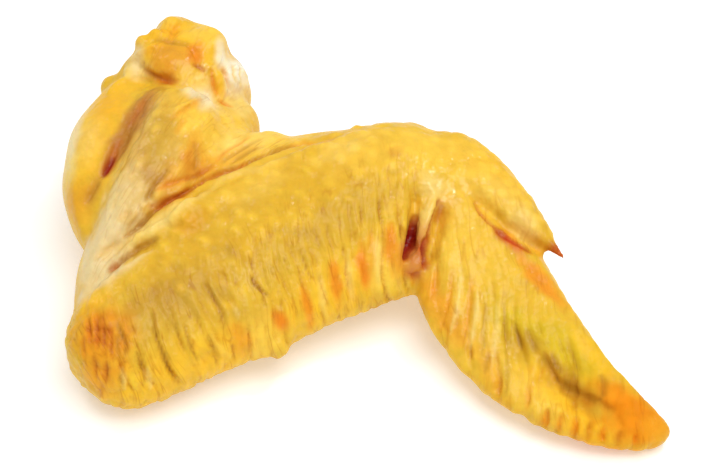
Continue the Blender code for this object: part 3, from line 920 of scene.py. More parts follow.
def wing_folds() -> tuple[Fold, ...]:
    """The wing's narrow creases, with painted shade in the dark ones and painted highlights on the pale
    raised strands.
    """
    arm, flat, hand = Limb.HUMERUS, Limb.ULNA, Limb.HAND
    return (
        # Between the triceps flap and the drumette: brown streaks and a red pit, with painted shade in the
        # crease.
        Fold(arm, ((151, 92), (141, 112), (132, 130), (123, 147), (112, 164), (104, 178)),
             2.3, 0.3, Tint.FAWN, 0.5, 2.2),
        Fold(arm, ((146, 98), (140, 110), (134, 120), (128, 131)), 0.7, 0.3, Tint.RUST, 0.4, 0.9),
        Fold(arm, ((136, 122), (130, 135), (126, 146), (121, 156)), 0.5, 0.35, Tint.UMBER, 0.6, 0.8),
        Fold(arm, ((122, 140), (116, 151), (110, 164), (104, 176)), 1.2, 0.4, Tint.RUST, 0.5, 1.1),
        Fold(arm, ((115, 158), (111, 166), (107, 174), (103, 180)), 0.8, 0.6, Tint.BLOOD, 0.9, 0.8),
        Fold(arm, ((102, 176), (95, 186), (89, 196), (84, 206)), 1.2, 0.4, Tint.FAWN, 0.35, 1.3),
        Fold(arm, ((100, 182), (93, 192), (86, 204)), 0.5, 0.4, Tint.UMBER, 0.4, 0.5),
        # Where the flat's skin folds over the drumette and the web, with painted shade in the crease and
        # painted highlights on the pale raised lips.
        Fold(arm, ((123, 239), (135, 230), (145, 221), (155, 212), (167, 204)),
             0.7, 1.1, Tint.UMBER, 0.85, 0.65),
        Fold(flat, ((155, 213), (167, 204), (179, 197), (195, 187), (207, 179)),
             0.7, 1.2, Tint.RUST, 0.8, 0.6),
        Fold(flat, ((195, 187), (207, 179), (221, 171), (235, 168), (247, 163), (261, 158)),
             0.7, 1.2, Tint.RUST, 0.75, 0.6),
        Fold(flat, ((247, 163), (261, 158), (275, 153), (289, 147), (303, 141)),
             0.7, 1.0, Tint.UMBER, 0.75, 0.6),
        Fold(flat, ((289, 148), (305, 142), (322, 139), (342, 133)), 0.7, 0.4, Tint.AMBER, 0.4, 0.9),
        Fold(flat, ((106, 273), (114, 268), (121, 262), (130, 255), (140, 248), (150, 243), (160, 237)),
             0.9, 0.7, Tint.UMBER, 0.8, 1.0),
        Fold(flat, ((109, 271), (114, 268), (119, 264)), 0.9, 0.5, Tint.RUST, 0.6, 1.1),
        Fold(flat, ((94, 262), (102, 254), (112, 247), (122, 240)), 0.7, 0.4, Tint.SAND, 0.6, 0.9),
        Fold(flat, ((126, 247), (140, 236), (154, 225), (168, 214), (184, 203), (200, 194)),
             1.1, -0.35, Tint.CREAM, 0.5, 1.1),
        Fold(flat, ((190, 200), (206, 190), (222, 180), (240, 174), (258, 167), (276, 160), (296, 152)),
             1.1, -0.35, Tint.CREAM, 0.3, 1.1),
        Fold(flat, ((97, 284), (106, 280), (116, 273), (128, 266), (140, 258), (154, 249)),
             0.9, -0.35, Tint.BLUSH, 0.7, 1.0),
        # The wrist's inner bend: two gaps, whose dark red is partly raw flesh and partly painted shade, with
        # strands between them.
        Fold(flat, ((417, 214), (413, 226), (410, 238), (406, 250), (404, 262)),
             1.3, 1.5, Tint.CRIMSON, 1.0, 1.7),
        Fold(flat, ((415, 222), (411, 236), (407, 248), (405, 259)), 0.9, 0.5, Tint.BLOOD, 0.9, 0.9),
        Fold(hand, ((440, 198), (436, 210), (433, 222), (431, 234), (430, 244)),
             0.6, 0.9, Tint.CRIMSON, 0.9, 0.7),
        Fold(hand, ((441, 200), (438, 212), (435, 224)), 0.5, 0.1, Tint.RUST, 0.6, 1.2),
        Fold(hand, ((428, 236), (427, 247), (425, 257), (423, 270)), 1.4, 1.4, Tint.CRIMSON, 1.0, 1.5),
        Fold(hand, ((428, 243), (426, 253), (424, 264)), 0.9, 0.4, Tint.BLOOD, 0.9, 0.9),
        Fold(flat, ((404, 272), (412, 274), (421, 273)), 0.7, 0.3, Tint.CRIMSON, 0.5, 1.1),
        Fold(flat, ((392, 222), (390, 238), (388, 256)), 0.7, 0.4, Tint.AMBER, 0.5, 1.0),
        # Under the thumb.
        Fold(hand, ((474, 201), (479, 208), (485, 214), (491, 220), (497, 228)),
             0.7, 0.7, Tint.RUST, 0.8, 0.8),
        Fold(hand, ((493, 224), (498, 231), (505, 236), (514, 241), (524, 247), (534, 251)),
             0.9, 0.8, Tint.CRIMSON, 1.0, 1.1),
        Fold(hand, ((495, 229), (500, 233), (506, 236)), 0.7, 0.2, Tint.RUST, 0.8, 1.0),
        Fold(hand, ((503, 238), (514, 243), (524, 249)), 0.5, 0.1, Tint.CORAL, 0.6, 1.1),
        # The tip, with painted shade in its furrow and valleys, and painted highlights on its pale raised
        # ridges.
        Fold(hand, ((540, 352), (547, 366), (556, 380), (568, 390), (584, 397), (602, 405), (616, 412)),
             1.6, 1.1, Tint.UMBER, 0.65, 1.5),
        Fold(hand, ((544, 350), (549, 366), (556, 380), (563, 388)), 0.7, 0.35, Tint.RUST, 0.25, 0.9),
        Fold(hand, ((526, 328), (532, 342), (538, 356)), 0.7, 0.6, Tint.UMBER, 0.6, 0.9),
        Fold(hand, ((513, 322), (517, 336), (521, 350)), 0.5, 0.5, Tint.UMBER, 0.5, 0.6),
        Fold(hand, ((551, 352), (556, 364), (563, 374)), 0.5, 0.6, Tint.UMBER, 0.6, 0.6),
        Fold(hand, ((566, 336), (570, 350), (577, 366), (584, 378)), 0.7, 0.4, Tint.UMBER, 0.4, 0.9),
        Fold(hand, ((600, 374), (604, 384), (603, 394), (598, 402)), 0.8, 0.7, Tint.UMBER, 0.7, 0.8),
        Fold(hand, ((503, 300), (505, 316), (506, 332), (508, 346)), 0.6, 0.6, Tint.UMBER, 0.5, 0.55),
        Fold(hand, ((489, 350), (487, 362), (485, 374)), 0.6, 0.5, Tint.UMBER, 0.4, 0.7),
        Fold(hand, ((507, 345), (508, 362), (507, 380), (506, 398)), 0.6, 0.6, Tint.OLIVE_SHADE, 0.8, 0.8),
        Fold(hand, ((530, 385), (529, 398), (527, 410)), 0.6, 0.6, Tint.HONEY, 0.8, 0.8),
        Fold(hand, ((472, 278), (470, 300), (467, 322), (462, 348)), 0.7, 0.6, Tint.HONEY, 0.75, 0.8),
        Fold(hand, ((452, 270), (450, 292), (446, 312), (440, 332)), 0.7, 0.6, Tint.HONEY, 0.8, 0.7),
        Fold(hand, ((486, 300), (485, 322), (484, 340), (481, 360)), 0.6, 0.5, Tint.OLIVE_SHADE, 0.7, 0.6),
        Fold(hand, ((437, 262), (435, 282), (431, 300)), 0.7, 0.5, Tint.AMBER, 0.5, 0.8),
        Fold(hand, ((461, 262), (460, 288), (456, 314), (450, 336)), 0.6, -0.4, Tint.CREAM, 0.75, 0.45),
        Fold(hand, ((478, 284), (477, 306), (474, 330), (470, 350)), 0.6, -0.4, Tint.CREAM, 0.75, 0.45),
        Fold(hand, ((497, 300), (497, 322), (495, 345), (492, 368)), 0.6, -0.4, Tint.CREAM, 0.6, 0.45),
        Fold(hand, ((548, 408), (546, 420), (544, 431)), 0.9, 1.3, Tint.AMBER, 0.6, 0.8),
        Fold(hand, ((562, 412), (560, 424), (558, 435)), 0.9, 1.3, Tint.AMBER, 0.6, 0.8),
        Fold(hand, ((577, 416), (575, 428), (573, 439)), 0.9, 1.3, Tint.AMBER, 0.7, 0.8),
        Fold(hand, ((591, 421), (589, 431), (588, 441)), 0.8, 1.0, Tint.RUST, 0.5, 0.8),
        Fold(hand, ((605, 425), (603, 435), (602, 444)), 0.9, 1.3, Tint.AMBER, 0.8, 0.9),
        Fold(hand, ((621, 429), (619, 438), (618, 446)), 0.8, 1.0, Tint.RUST, 0.5, 0.8),
        Fold(hand, ((636, 433), (636, 440), (635, 447)), 0.8, 1.0, Tint.AMBER, 0.8, 0.8),
        # The elbow's short wrinkles, darkened partly with painted shade, with pale raised ridges that carry
        # painted highlights.
        Fold(flat, ((88, 318), (89, 330), (90, 346)), 0.6, 0.7, Tint.RUST, 0.6, 0.5),
        Fold(flat, ((96, 314), (97, 330), (98, 350)), 0.6, 0.7, Tint.RUST, 0.6, 0.5),
        Fold(flat, ((103, 316), (104, 334), (105, 356)), 0.6, 0.7, Tint.RUST, 0.6, 0.5),
        Fold(flat, ((110, 322), (111, 340), (113, 362)), 0.6, 0.7, Tint.RUST, 0.6, 0.5),
        Fold(flat, ((117, 334), (118, 346), (119, 360)), 0.5, 0.5, Tint.UMBER, 0.6, 0.6),
        Fold(flat, ((83, 336), (84, 348), (86, 362)), 0.5, 0.4, Tint.RUST, 0.4, 0.6),
        Fold(flat, ((94, 352), (95, 366), (97, 380)), 0.5, 0.5, Tint.RUST, 0.5, 0.6),
        Fold(flat, ((106, 360), (106, 372), (107, 384)), 0.6, 0.6, Tint.RUST, 0.6, 0.6),
        Fold(flat, ((91, 330), (98, 328), (106, 330), (113, 334)), 0.5, 0.3, Tint.RUST, 0.4, 0.6),
        Fold(flat, ((90, 342), (98, 340), (106, 343), (114, 348)), 0.5, 0.3, Tint.RUST, 0.4, 0.6),
        Fold(flat, ((116, 320), (122, 334), (127, 346), (124, 358)), 0.6, 0.7, Tint.UMBER, 0.75, 0.5),
        Fold(flat, ((158, 340), (163, 354), (168, 368), (176, 384)), 0.6, 0.7, Tint.UMBER, 0.7, 0.42),
        Fold(flat, ((146, 366), (149, 378), (151, 390)), 0.6, -0.35, Tint.CREAM, 0.6, 0.5),
        Fold(flat, ((122, 366), (124, 378), (124, 392)), 0.6, -0.35, Tint.CREAM, 0.6, 0.5),
        Fold(flat, ((211, 330), (216, 342), (224, 352), (232, 358)), 0.6, -0.4, Tint.BUTTER, 0.7, 0.6),
        Fold(flat, ((233, 302), (236, 312), (239, 320)), 0.5, -0.3, Tint.CREAM, 0.35, 0.4),
        Fold(flat, ((207, 334), (213, 348), (221, 360)), 0.5, 0.5, Tint.UMBER, 0.5, 0.5),
        Fold(flat, ((184, 322), (188, 338), (193, 352), (199, 362)), 0.6, 0.7, Tint.UMBER, 0.6, 0.42),
        Fold(flat, ((136, 350), (140, 362), (144, 372), (145, 384)), 0.6, 0.7, Tint.UMBER, 0.7, 0.5),
        Fold(flat, ((250, 274), (254, 283), (262, 291), (270, 297)), 0.6, 0.7, Tint.UMBER, 0.85, 0.5),
        Fold(flat, ((247, 272), (250, 270), (254, 273)), 0.5, -0.3, Tint.CREAM, 0.4, 0.4),
        Fold(flat, ((208, 288), (213, 297), (219, 306), (226, 315)), 0.6, 0.4, Tint.UMBER, 0.4, 0.6),
        Fold(flat, ((122, 368), (121, 378), (122, 388)), 0.5, 0.5, Tint.UMBER, 0.5, 0.5),
        # Small folds across the drumette, darkened partly with painted shade.
        Fold(arm, ((168, 168), (162, 176), (155, 184), (148, 196), (144, 203)),
             0.8, 0.7, Tint.UMBER, 0.75, 0.8),
        Fold(arm, ((150, 166), (148, 176), (146, 184)), 1.0, 0.3, Tint.UMBER, 0.4, 1.2),
        Fold(arm, ((147, 208), (158, 206), (168, 201), (179, 195), (190, 187)),
             0.8, 0.7, Tint.RUST, 0.7, 1.0),
        Fold(arm, ((155, 191), (166, 185), (177, 182), (188, 178)), 0.7, 0.5, Tint.AMBER, 0.6, 0.8),
        Fold(arm, ((196, 140), (197, 152), (196, 164), (193, 174)), 0.8, 0.5, Tint.UMBER, 0.5, 0.9),
        Fold(arm, ((182, 182), (194, 178), (206, 172), (215, 165)), 0.7, 0.6, Tint.RUST, 0.6, 0.8),
        Fold(arm, ((200, 98), (190, 105), (180, 112), (170, 121)), 0.6, 0.4, Tint.HONEY, 0.7, 0.8),
        Fold(arm, ((186, 118), (180, 126), (176, 134)), 0.6, 0.4, Tint.HONEY, 0.6, 0.9),
        Fold(flat, ((262, 137), (246, 145), (232, 154), (221, 163)), 0.5, 0.5, Tint.UMBER, 0.5, 0.5),
        Fold(flat, ((252, 136), (238, 143), (226, 152), (214, 164)), 0.5, 0.4, Tint.AMBER, 0.6, 0.5),
        Fold(flat, ((266, 143), (250, 149), (238, 157), (228, 165)), 0.5, 0.4, Tint.UMBER, 0.5, 0.5),
        Fold(arm, ((118, 222), (125, 214), (131, 208)), 0.7, 0.4, Tint.SAND, 0.6, 0.9),
        Fold(arm, ((126, 232), (134, 222), (140, 214)), 0.7, 0.4, Tint.UMBER, 0.35, 0.9),
        # The cut shoulder, with painted shade in its hollows and grooves.
        Fold(arm, ((143, 70), (153, 74), (162, 80), (171, 82), (180, 81)), 1.1, 0.9, Tint.RUST, 0.8, 1.1),
        Fold(arm, ((160, 76), (168, 79), (176, 78)), 1.5, 0.6, Tint.RUST, 0.4, 1.6),
        Fold(arm, ((178, 24), (174, 32), (171, 40), (163, 41)), 0.9, 0.7, Tint.HONEY, 0.6, 1.0),
        Fold(arm, ((152, 40), (163, 40), (175, 43), (186, 44), (192, 48)),
             0.8, 0.6, Tint.UMBER, 0.55, 0.9),
        Fold(arm, ((186, 44), (194, 50), (198, 58), (197, 66)), 1.2, 0.9, Tint.AMBER, 0.6, 1.4),
        Fold(arm, ((192, 64), (199, 67), (206, 72)), 0.6, 0.6, Tint.RUST, 0.8, 0.6),
        Fold(arm, ((211, 68), (212, 78), (214, 88), (217, 97)), 0.6, 0.8, Tint.AMBER, 0.7, 0.6),
        Fold(arm, ((223, 66), (225, 78), (228, 90)), 0.6, 0.7, Tint.HONEY, 0.6, 0.6),
        Fold(arm, ((217, 101), (224, 103), (233, 107)), 0.6, 0.6, Tint.AMBER, 0.8, 0.6),
        Fold(arm, ((150, 28), (158, 32), (166, 34)), 0.8, 0.7, Tint.HONEY, 0.7, 0.9),
        Fold(arm, ((139, 71), (142, 66), (144, 60)), 0.6, 0.5, Tint.UMBER, 0.25, 0.6),
        Fold(arm, ((232, 64), (231, 74), (234, 84)), 0.4, 0.4, Tint.BUTTER, 0.7, 0.5),
        Fold(arm, ((239, 66), (238, 76), (241, 88)), 0.4, 0.4, Tint.BUTTER, 0.7, 0.5),
    )


def wing_grown() -> tuple[Strand | Nub, ...]:
    """The strands and lumps that are grown together with the wing's skin."""
    arm, flat, hand = Limb.HUMERUS, Limb.ULNA, Limb.HAND
    return (
        # Wet strands across the wrist's inner bend.
        Strand(flat, ((419, 184), (421, 195), (423, 208)), 0.9, -0.1),
        Strand(flat, ((427, 184), (432, 191), (438, 198)), 0.6, 0.2),
        Strand(hand, ((445, 175), (440, 184), (438, 195)), 0.6, 0.2),
        Strand(hand, ((424, 182), (431, 183), (438, 181)), 0.5, 0.2),
        Strand(hand, ((434, 194), (430, 206), (427, 218), (424, 231), (418, 243)), 0.95, 0.2),
        Strand(hand, ((420, 188), (422, 200), (423, 214), (423, 228), (420, 240)), 0.7, 0.1),
        Strand(hand, ((434, 200), (431, 212), (428, 224)), 0.5, 0.6),
        Strand(flat, ((421, 247), (418, 256), (415, 265), (412, 272)), 1.1, 0.1),
        Strand(flat, ((423, 250), (420, 262), (418, 272)), 0.9, 0.1),
        Strand(hand, ((462, 185), (467, 190), (470, 198)), 0.5, 0.2),
        Strand(hand, ((472, 186), (475, 193), (477, 200)), 0.5, 0.2),
        # Folds of skin on the drumette.
        Strand(arm, ((147, 204), (156, 197), (168, 189), (180, 184), (192, 180)), 1.3, 0.2),
        Strand(arm, ((203, 96), (192, 102), (182, 108), (172, 116)), 0.8, 0.2),
        # Membrane, tongue and rims of the cut shoulder.
        Strand(arm, ((229, 62), (228, 72), (231, 82), (233, 90)), 0.7, 0.2),
        Strand(arm, ((236, 64), (235, 74), (238, 84)), 0.7, 0.2),
        Strand(arm, ((243, 68), (245, 80), (248, 92)), 0.8, 0.2),
        Strand(arm, ((222, 44), (220, 55), (218, 64), (210, 69), (203, 74)), 0.7, 0.2),
        Strand(arm, ((216, 70), (218, 80), (221, 90), (224, 99)), 1.7, 0.2),
        Strand(arm, ((178, 79), (188, 78), (198, 79), (207, 82), (213, 89), (217, 99)), 0.9, 0.2),
        Strand(arm, ((107, 90), (122, 80), (138, 74), (152, 75), (162, 81)), 1.1, 0.2),
        Strand(arm, ((157, 44), (146, 50), (136, 58), (126, 68)), 0.8, 0.2),
        Nub(arm, (63.2, 0.2, 12.6), (3.8, 6, 3)),
        Nub(arm, (70.4, -5.6, 11.2), (5, 5, 4.2)),
        Nub(arm, (74.2, 2.4, 12.6), (2.6, 2.6, 2.4)),
        Nub(arm, (69.6, 4.2, 14), (2, 2.4, 2.4)),
        Nub(arm, (68, 7.4, 13), (2, 1.8, 2.2)),
        Nub(arm, (62, 8.6, 10.4), (1.8, 2.2, 1.8)),
    )


def wing_calm() -> tuple[Area, ...]:
    """The areas where the skin is smoothed, so that the limbs run into each other."""
    arm, flat = Limb.HUMERUS, Limb.ULNA
    return (
        Area(arm, (108, 165), (26, 7), 1.0, -6.0),
        Area(arm, (138, 118), (14, 6), 1.0),
        Area(arm, (240, 130), (12, 10), 1.0),
        Area(arm, (215, 158), (10, 9), 1.0),
        Area(flat, (262, 152), (16, 6), 1.0),
        Area(arm, (165, 200), (9, 6), 0.8),
        Area(arm, (190, 80), (5, 10), 0.6),
    )


def wing_wet() -> tuple[Area, ...]:
    """The areas where the skin is wet, or, below 0, less shiny than elsewhere."""
    arm, flat, hand = Limb.HUMERUS, Limb.ULNA, Limb.HAND
    return (
        Area(hand, (432, 195), (9, 8), 1.0),
        Area(hand, (422, 230), (9, 5), 0.9, -50.0),
        Area(hand, (470, 195), (5, 5), 0.7),
        Area(hand, (468, 300), (20, 12), 0.3),
        Area(hand, (612, 405), (20, 12), -0.95),
        Area(flat, (101, 340), (11, 11), -0.5),
        Area(arm, (235, 76), (8, 8), 0.7),
        Area(arm, (196, 66), (7, 12), 0.5),
        Area(flat, (250, 274), (7, 4), 0.25),
        Area(arm, (150, 170), (24, 9), 0.25),
    )


def wing_bumps() -> tuple[GooseBumps, ...]:
    """The wing's fields of goose bumps."""
    arm, flat, hand = Limb.HUMERUS, Limb.ULNA, Limb.HAND
    return (
        GooseBumps(flat, Side.OUTER, (8, 70), (-8, 14), (4.6, 3.9), (0.85, 1.1), 0.56, 1.0, 12.0),
        GooseBumps(arm, Side.OUTER, (14, 58), (-15, 3), (4.6, 3.2), (1.4, 0.8), 0.52, 2.0, -18.0),
        GooseBumps(hand, Side.OUTER, (-4, 34), (-2, 12), (3.6, 3.0), (0.9, 0.9), 0.24, 3.0),
        GooseBumps(flat, Side.INNER, (0, 70), (-16, 16), (4.5, 3.8), (1.0, 1.0), 0.25, 4.0),
        GooseBumps(arm, Side.INNER, (4, 58), (-14, 16), (4.2, 3.6), (1.0, 1.0), 0.30, 5.0),
        GooseBumps(hand, Side.INNER, (14, 74), (-22, 0), (4.5, 3.6), (1.0, 1.0), 0.20, 6.0),
    )


class SkinMap:
    """Where the skin's points lie on the limbs and on their feather rows.

    GIRTH is each limb's girth. The other names say how far the rows and the tip's lower half lean
    against the bones, and how far the rows wander.
    """

    GIRTH = {Limb.HUMERUS: 17.0, Limb.ULNA: 17.0, Limb.HAND: 15.0}
    FLAT_LEAN = (0.2, 0.42)
    HAND_SLANT = (0.485, 0.876)
    TIP_LEAN = 0.8
    ARM_LEAN = 0.33
    DRIFT = 2.6

    def __init__(self, points: np.ndarray) -> None:
        """Measures the points.

        Args:
            points: The skin's points, before the relief.
        """
        self.points = points
        self.on = {limb: limb.value.measure(points) for limb in Limb}
        far = {limb: limb.value.distance(points) / size for limb, size in self.GIRTH.items()}
        pull = {limb: np.exp(-5.0 * away) for limb, away in far.items()}
        self.share = {limb: own / sum(pull.values()) for limb, own in pull.items()}
        drift = self.DRIFT * wander(points, 12.0, 1)
        along, left, _ = self.on[Limb.ULNA]
        least, more = self.FLAT_LEAN
        self.flat_rows = along - (least + more * smooth_step(along, 8.0, 56.0)) * left + drift
        along, left, _ = self.on[Limb.HAND]
        across, down = self.HAND_SLANT
        self.hand_rows = across * along + down * left + drift
        self.hand_down = down * along - across * left
        self.tipward = along - self.TIP_LEAN * left
        along, left, _ = self.on[Limb.HUMERUS]
        self.arm_rows = left + self.ARM_LEAN * along

    def belonging(self, limb: Limb) -> np.ndarray:
        """How far each point belongs to one limb rather than to the others, from 0 to 1."""
        return smooth_step(self.share[limb], 0.3, 0.6)


@dataclass
class WingSkin:
    """The whole skin of the wing, with its folds, ridges, goose bumps and colours.

    The four tones are how strongly red, green and blue follow the mottling, and how much they darken
    between the goose bumps (olive skin and painted shade), brighten on the ridges (painted highlight) and
    darken in the valleys (painted shade). The bumps' paling is pale skin with a painted highlight.
    """

    grain_size: float = 0.53
    smooth_passes: int = 3
    calm_passes: int = 110
    ridge_pitch: float = 4.7
    ridge_cut: float = 0.62
    valley_width: float = 0.42
    shallow_width: float = 0.40
    pucker_depth: float = 0.55
    bump_paling_and_highlight: float = 0.36
    mottle_tone: tuple[float, float, float] = (0.06, 0.10, 0.16)
    pit_shade_tone: tuple[float, float, float] = (0.07, 0.11, 0.22)
    crest_highlight_tone: tuple[float, float, float] = (0.05, 0.10, 0.15)
    valley_shade_tone: tuple[float, float, float] = (0.20, 0.36, 0.55)
    patches: tuple[Patch, ...] = field(default_factory=wing_patches)
    folds: tuple[Fold, ...] = field(default_factory=wing_folds)
    grown: tuple[Strand | Nub, ...] = field(default_factory=wing_grown)
    bumps: tuple[GooseBumps, ...] = field(default_factory=wing_bumps)
    calm: tuple[Area, ...] = field(default_factory=wing_calm)
    wet: tuple[Area, ...] = field(default_factory=wing_wet)
    finish: SkinFinish = SkinFinish()

    def build(self) -> bpy.types.Object:
        """Makes the skin.

        Returns:
            The finished object, which stands for the wing's solid.
        """
        skin = self.refine(SOLID)
        self.soothe(skin.data)
        points, normals = self.read(skin.data)
        tree = tree_of(skin.data)
        lay = SkinMap(points)
        ragged = ripple(points / 2.6, 11.0)
        near = [(fold, fold.nearness(points, tree)) for fold in self.folds]
        raised = [bump.rise(points) * lay.belonging(bump.limb) for bump in self.bumps]
        bump_area = sum(bump.inside(points) * lay.belonging(bump.limb) for bump in self.bumps)
        relief = self.ridge_height(lay) + self.pucker_height(lay)
        height = relief + sum(share * bump.height for share, bump in zip(raised, self.bumps))
        height = height - sum(fold.groove(*nearby) for fold, nearby in near)
        stain_and_light_shares = [np.clip(fold.colour_share(*nearby, ragged), 0.0, 1.0) for fold, nearby in near]
        colour = self.colour(points, ragged, stain_and_light_shares, sum(raised), np.clip(bump_area, 0.0, 1.0), relief)
        grain, crinkle = self.comb(lay)
        self.write(skin.data, "tint", "FLOAT_COLOR", colour)
        self.write(skin.data, "wet", "FLOAT", self.wetness(points, ragged, stain_and_light_shares))
        self.write(skin.data, "grain", "FLOAT_VECTOR", grain)
        self.write(skin.data, "crinkle", "FLOAT", crinkle)
        moved = points + normals * height[:, None]
        moved[:, 2] = np.maximum(moved[:, 2], 0.0)
        self.move(skin.data, moved)
        skin.data.shade_smooth()
        skin.data.materials.clear()
        skin.data.materials.append(self.finish.build())
        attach(skin, "root")
        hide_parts("wing")
        return skin

    def refine(self, solid: bpy.types.Object) -> bpy.types.Object:
        """Copies the solid at a finer grain, with the strands and lumps grown together with it.

        Args:
            solid: The wing's solid.

        Returns:
            A new object with an even mesh.
        """
        work = bmesh.new()
        work.from_mesh(solid.data)
        bmesh.ops.remove_doubles(work, verts=work.verts, dist=0.000001)
        mesh = bpy.data.meshes.new("wing_skin")
        work.to_mesh(mesh)
        skin = bpy.data.objects.new("wing_skin", mesh)
        bpy.context.scene.collection.objects.link(skin)
        rounding = skin.modifiers.new("rounding", "SUBSURF")
        rounding.levels = rounding.render_levels = 1
        self.settle(skin)
        tree = tree_of(skin.data)
        work.clear()
        work.from_mesh(skin.data)
        for piece in self.grown:
            piece.add_to(work, tree)
        work.to_mesh(skin.data)
        work.free()
        evening = skin.modifiers.new("evening", "REMESH")
        evening.mode = "VOXEL"
        evening.voxel_size = self.grain_size * MM
        soften = skin.modifiers.new("soften", "SMOOTH")
        soften.factor = 0.5
        soften.iterations = self.smooth_passes
        self.settle(skin)
        return skin

    def soothe(self, mesh: bpy.types.Mesh) -> None:
        """Smooths the mesh inside the calm areas."""
        points, _ = self.read(mesh)
        edges = np.empty(len(mesh.edges) * 2, np.int32)
        mesh.edges.foreach_get("vertices", edges)
        near, far = edges.reshape(-1, 2).T
        size = len(points)
        count = np.bincount(edges, minlength=size)
        weight = np.max([area.share(points, np.zeros(size)) for area in self.calm], axis=0)
        touched = (weight[near] > 0.0) | (weight[far] > 0.0)
        near, far = near[touched], far[touched]
        moving = weight > 0.0
        for _ in range(self.calm_passes):
            for axis in range(3):
                value = points[:, axis]
                total = np.bincount(near, value[far], size) + np.bincount(far, value[near], size)
                value[moving] += weight[moving] * (total[moving] / count[moving] - value[moving])
        self.move(mesh, points)

    @staticmethod
    def move(mesh: bpy.types.Mesh, points: np.ndarray) -> None:
        """Moves a mesh's points to new places, which are in millimetres."""
        mesh.vertices.foreach_set("co", (points * MM).astype(np.float32).ravel())
        mesh.update()

    @staticmethod
    def write(mesh: bpy.types.Mesh, name: str, kind: str, values: np.ndarray) -> None:
        """Writes an attribute of a mesh's points.

        Args:
            mesh: The mesh.
            name: The attribute's name.
            kind: Its data type.
            values: Its value at each point.
        """
        part = {"FLOAT": "value", "FLOAT_VECTOR": "vector", "FLOAT_COLOR": "color"}[kind]
        layer = mesh.attributes.new(name, kind, "POINT")
        layer.data.foreach_set(part, values.astype(np.float32).ravel())

    @staticmethod
    def settle(skin: bpy.types.Object) -> None:
        """Applies the object's modifiers to its mesh."""
        graph = bpy.context.evaluated_depsgraph_get()
        graph.update()
        fine = bpy.data.meshes.new_from_object(skin.evaluated_get(graph))
        skin.modifiers.clear()
        skin.data = fine
        fine.name = "wing_skin"

    @staticmethod
    def read(mesh: bpy.types.Mesh) -> tuple[np.ndarray, np.ndarray]:
        """The mesh's points, in millimetres, and its normals."""
        points = np.empty(len(mesh.vertices) * 3, np.float32)
        normals = np.empty(len(mesh.vertices) * 3, np.float32)
        mesh.vertices.foreach_get("co", points)
        mesh.vertices.foreach_get("normal", normals)
        return points.reshape(-1, 3).astype(float) / MM, normals.reshape(-1, 3).astype(float)

    def ridge_height(self, lay: SkinMap) -> np.ndarray:
        """The sharp valleys between the feather rows, and the lobes at their ends.

        Args:
            lay: The skin's points.

        Returns:
            A height for each point, mostly below 0.
        """
        uneven = 0.55 + 1.5 * wander(lay.points, 5.0, 4)
        along, left, up = lay.on[Limb.ULNA]
        flat_area = between(along, -10.0, -3.0, 60.0, 66.0) * lay.belonging(Limb.ULNA)
        flat_area *= smooth_step(-left, 2.0, 9.0) * smooth_step(up, -10.0, -4.0)
        along, left, up = lay.on[Limb.HAND]
        hand_area = between(along, 18.0, 28.0, 64.0, 76.0) * lay.belonging(Limb.HAND)
        hand_area *= smooth_step(-left, 3.0, 9.0) * smooth_step(up, -5.0, -1.0)
        hand_area *= 0.45 + 0.55 * smooth_step(lay.tipward, 44.0, 56.0)
        total = np.zeros(len(uneven))
        for rows, area in ((lay.flat_rows, flat_area), (lay.hand_rows, hand_area)):
            off_valley = np.abs((rows / self.ridge_pitch) % 1.0 - 0.5) * self.ridge_pitch
            valley = np.exp(-((off_valley / self.valley_width) ** 2))
            valley = valley - 0.15 * np.exp(-((off_valley - 1.1) ** 2) / 0.6)
            half_off = np.abs((rows / self.ridge_pitch + 0.5) % 1.0 - 0.5) * self.ridge_pitch
            shallow = np.exp(-((half_off / self.shallow_width) ** 2))
            total -= area * np.clip(uneven, 0.0, 1.5) * valley * self.ridge_cut
            total -= area * np.clip(1.2 - uneven, 0.0, 1.0) * shallow * self.ridge_cut * 0.5
        return total

    def pucker_height(self, lay: SkinMap) -> np.ndarray:
        """The uneven puckers of the loose skin, which run like the feather rows.

        Args:
            lay: The skin's points.

        Returns:
            A height for each point, around 0.
        """
        flat, hand, arm = (lay.belonging(limb) for limb in (Limb.ULNA, Limb.HAND, Limb.HUMERUS))
        along, left, up = lay.on[Limb.ULNA]
        rows = lay.flat_rows + 1.1 * ripple(lay.points / 5.0, 31.0)
        elbow = 1.0 - smooth_step(along, -2.0, 7.0)
        low = flat * (1.0 - elbow) * smooth_step(-left, 1.0, 10.0)
        high = flat * (1.0 - elbow) * between(left, -8.0, 0.0, 12.0, 15.0)
        fields = [
            (low, (rows / 3.8, left / 7.5, up / 7.5), 41.0, 0.8),
            (high, (along / 4.0, left / 4.6, up / 6.0), 42.0, 0.55),
            (flat * elbow, (rows / 2.2, left / 4.2, up / 4.2), 43.0, 1.1),
        ]
        along, left, up = lay.on[Limb.HAND]
        rows = lay.hand_rows + 1.1 * ripple(lay.points / 5.0, 32.0)
        blade = smooth_step(-left, 0.0, 6.0) * smooth_step(along, 12.0, 24.0)
        blade *= 0.6 + 0.4 * smooth_step(lay.tipward, 40.0, 56.0)
        fields += [
            (hand * blade, (rows / 3.4, lay.hand_down / 14.0, up / 8.0), 44.0, 0.8),
            (hand * (1.0 - blade), (along / 3.0, left / 3.0, up / 4.0), 45.0, 0.3),
        ]
        along, left, up = lay.on[Limb.HUMERUS]
        folded = arm * (1.0 - smooth_step(left, 5.0, 9.0)) * (1.0 - smooth_step(along, 56.0, 60.0))
        fields.append((folded, (lay.arm_rows / 2.8, along / 6.0, up / 5.0), 46.0, 0.6))
        height = 0.25 * arm * ripple(lay.points / 8.0, 47.0)
        for area, places, seed, share in fields:
            height += area * (puckers(np.column_stack(places), seed) - 0.6) * self.pucker_depth * share
        return height

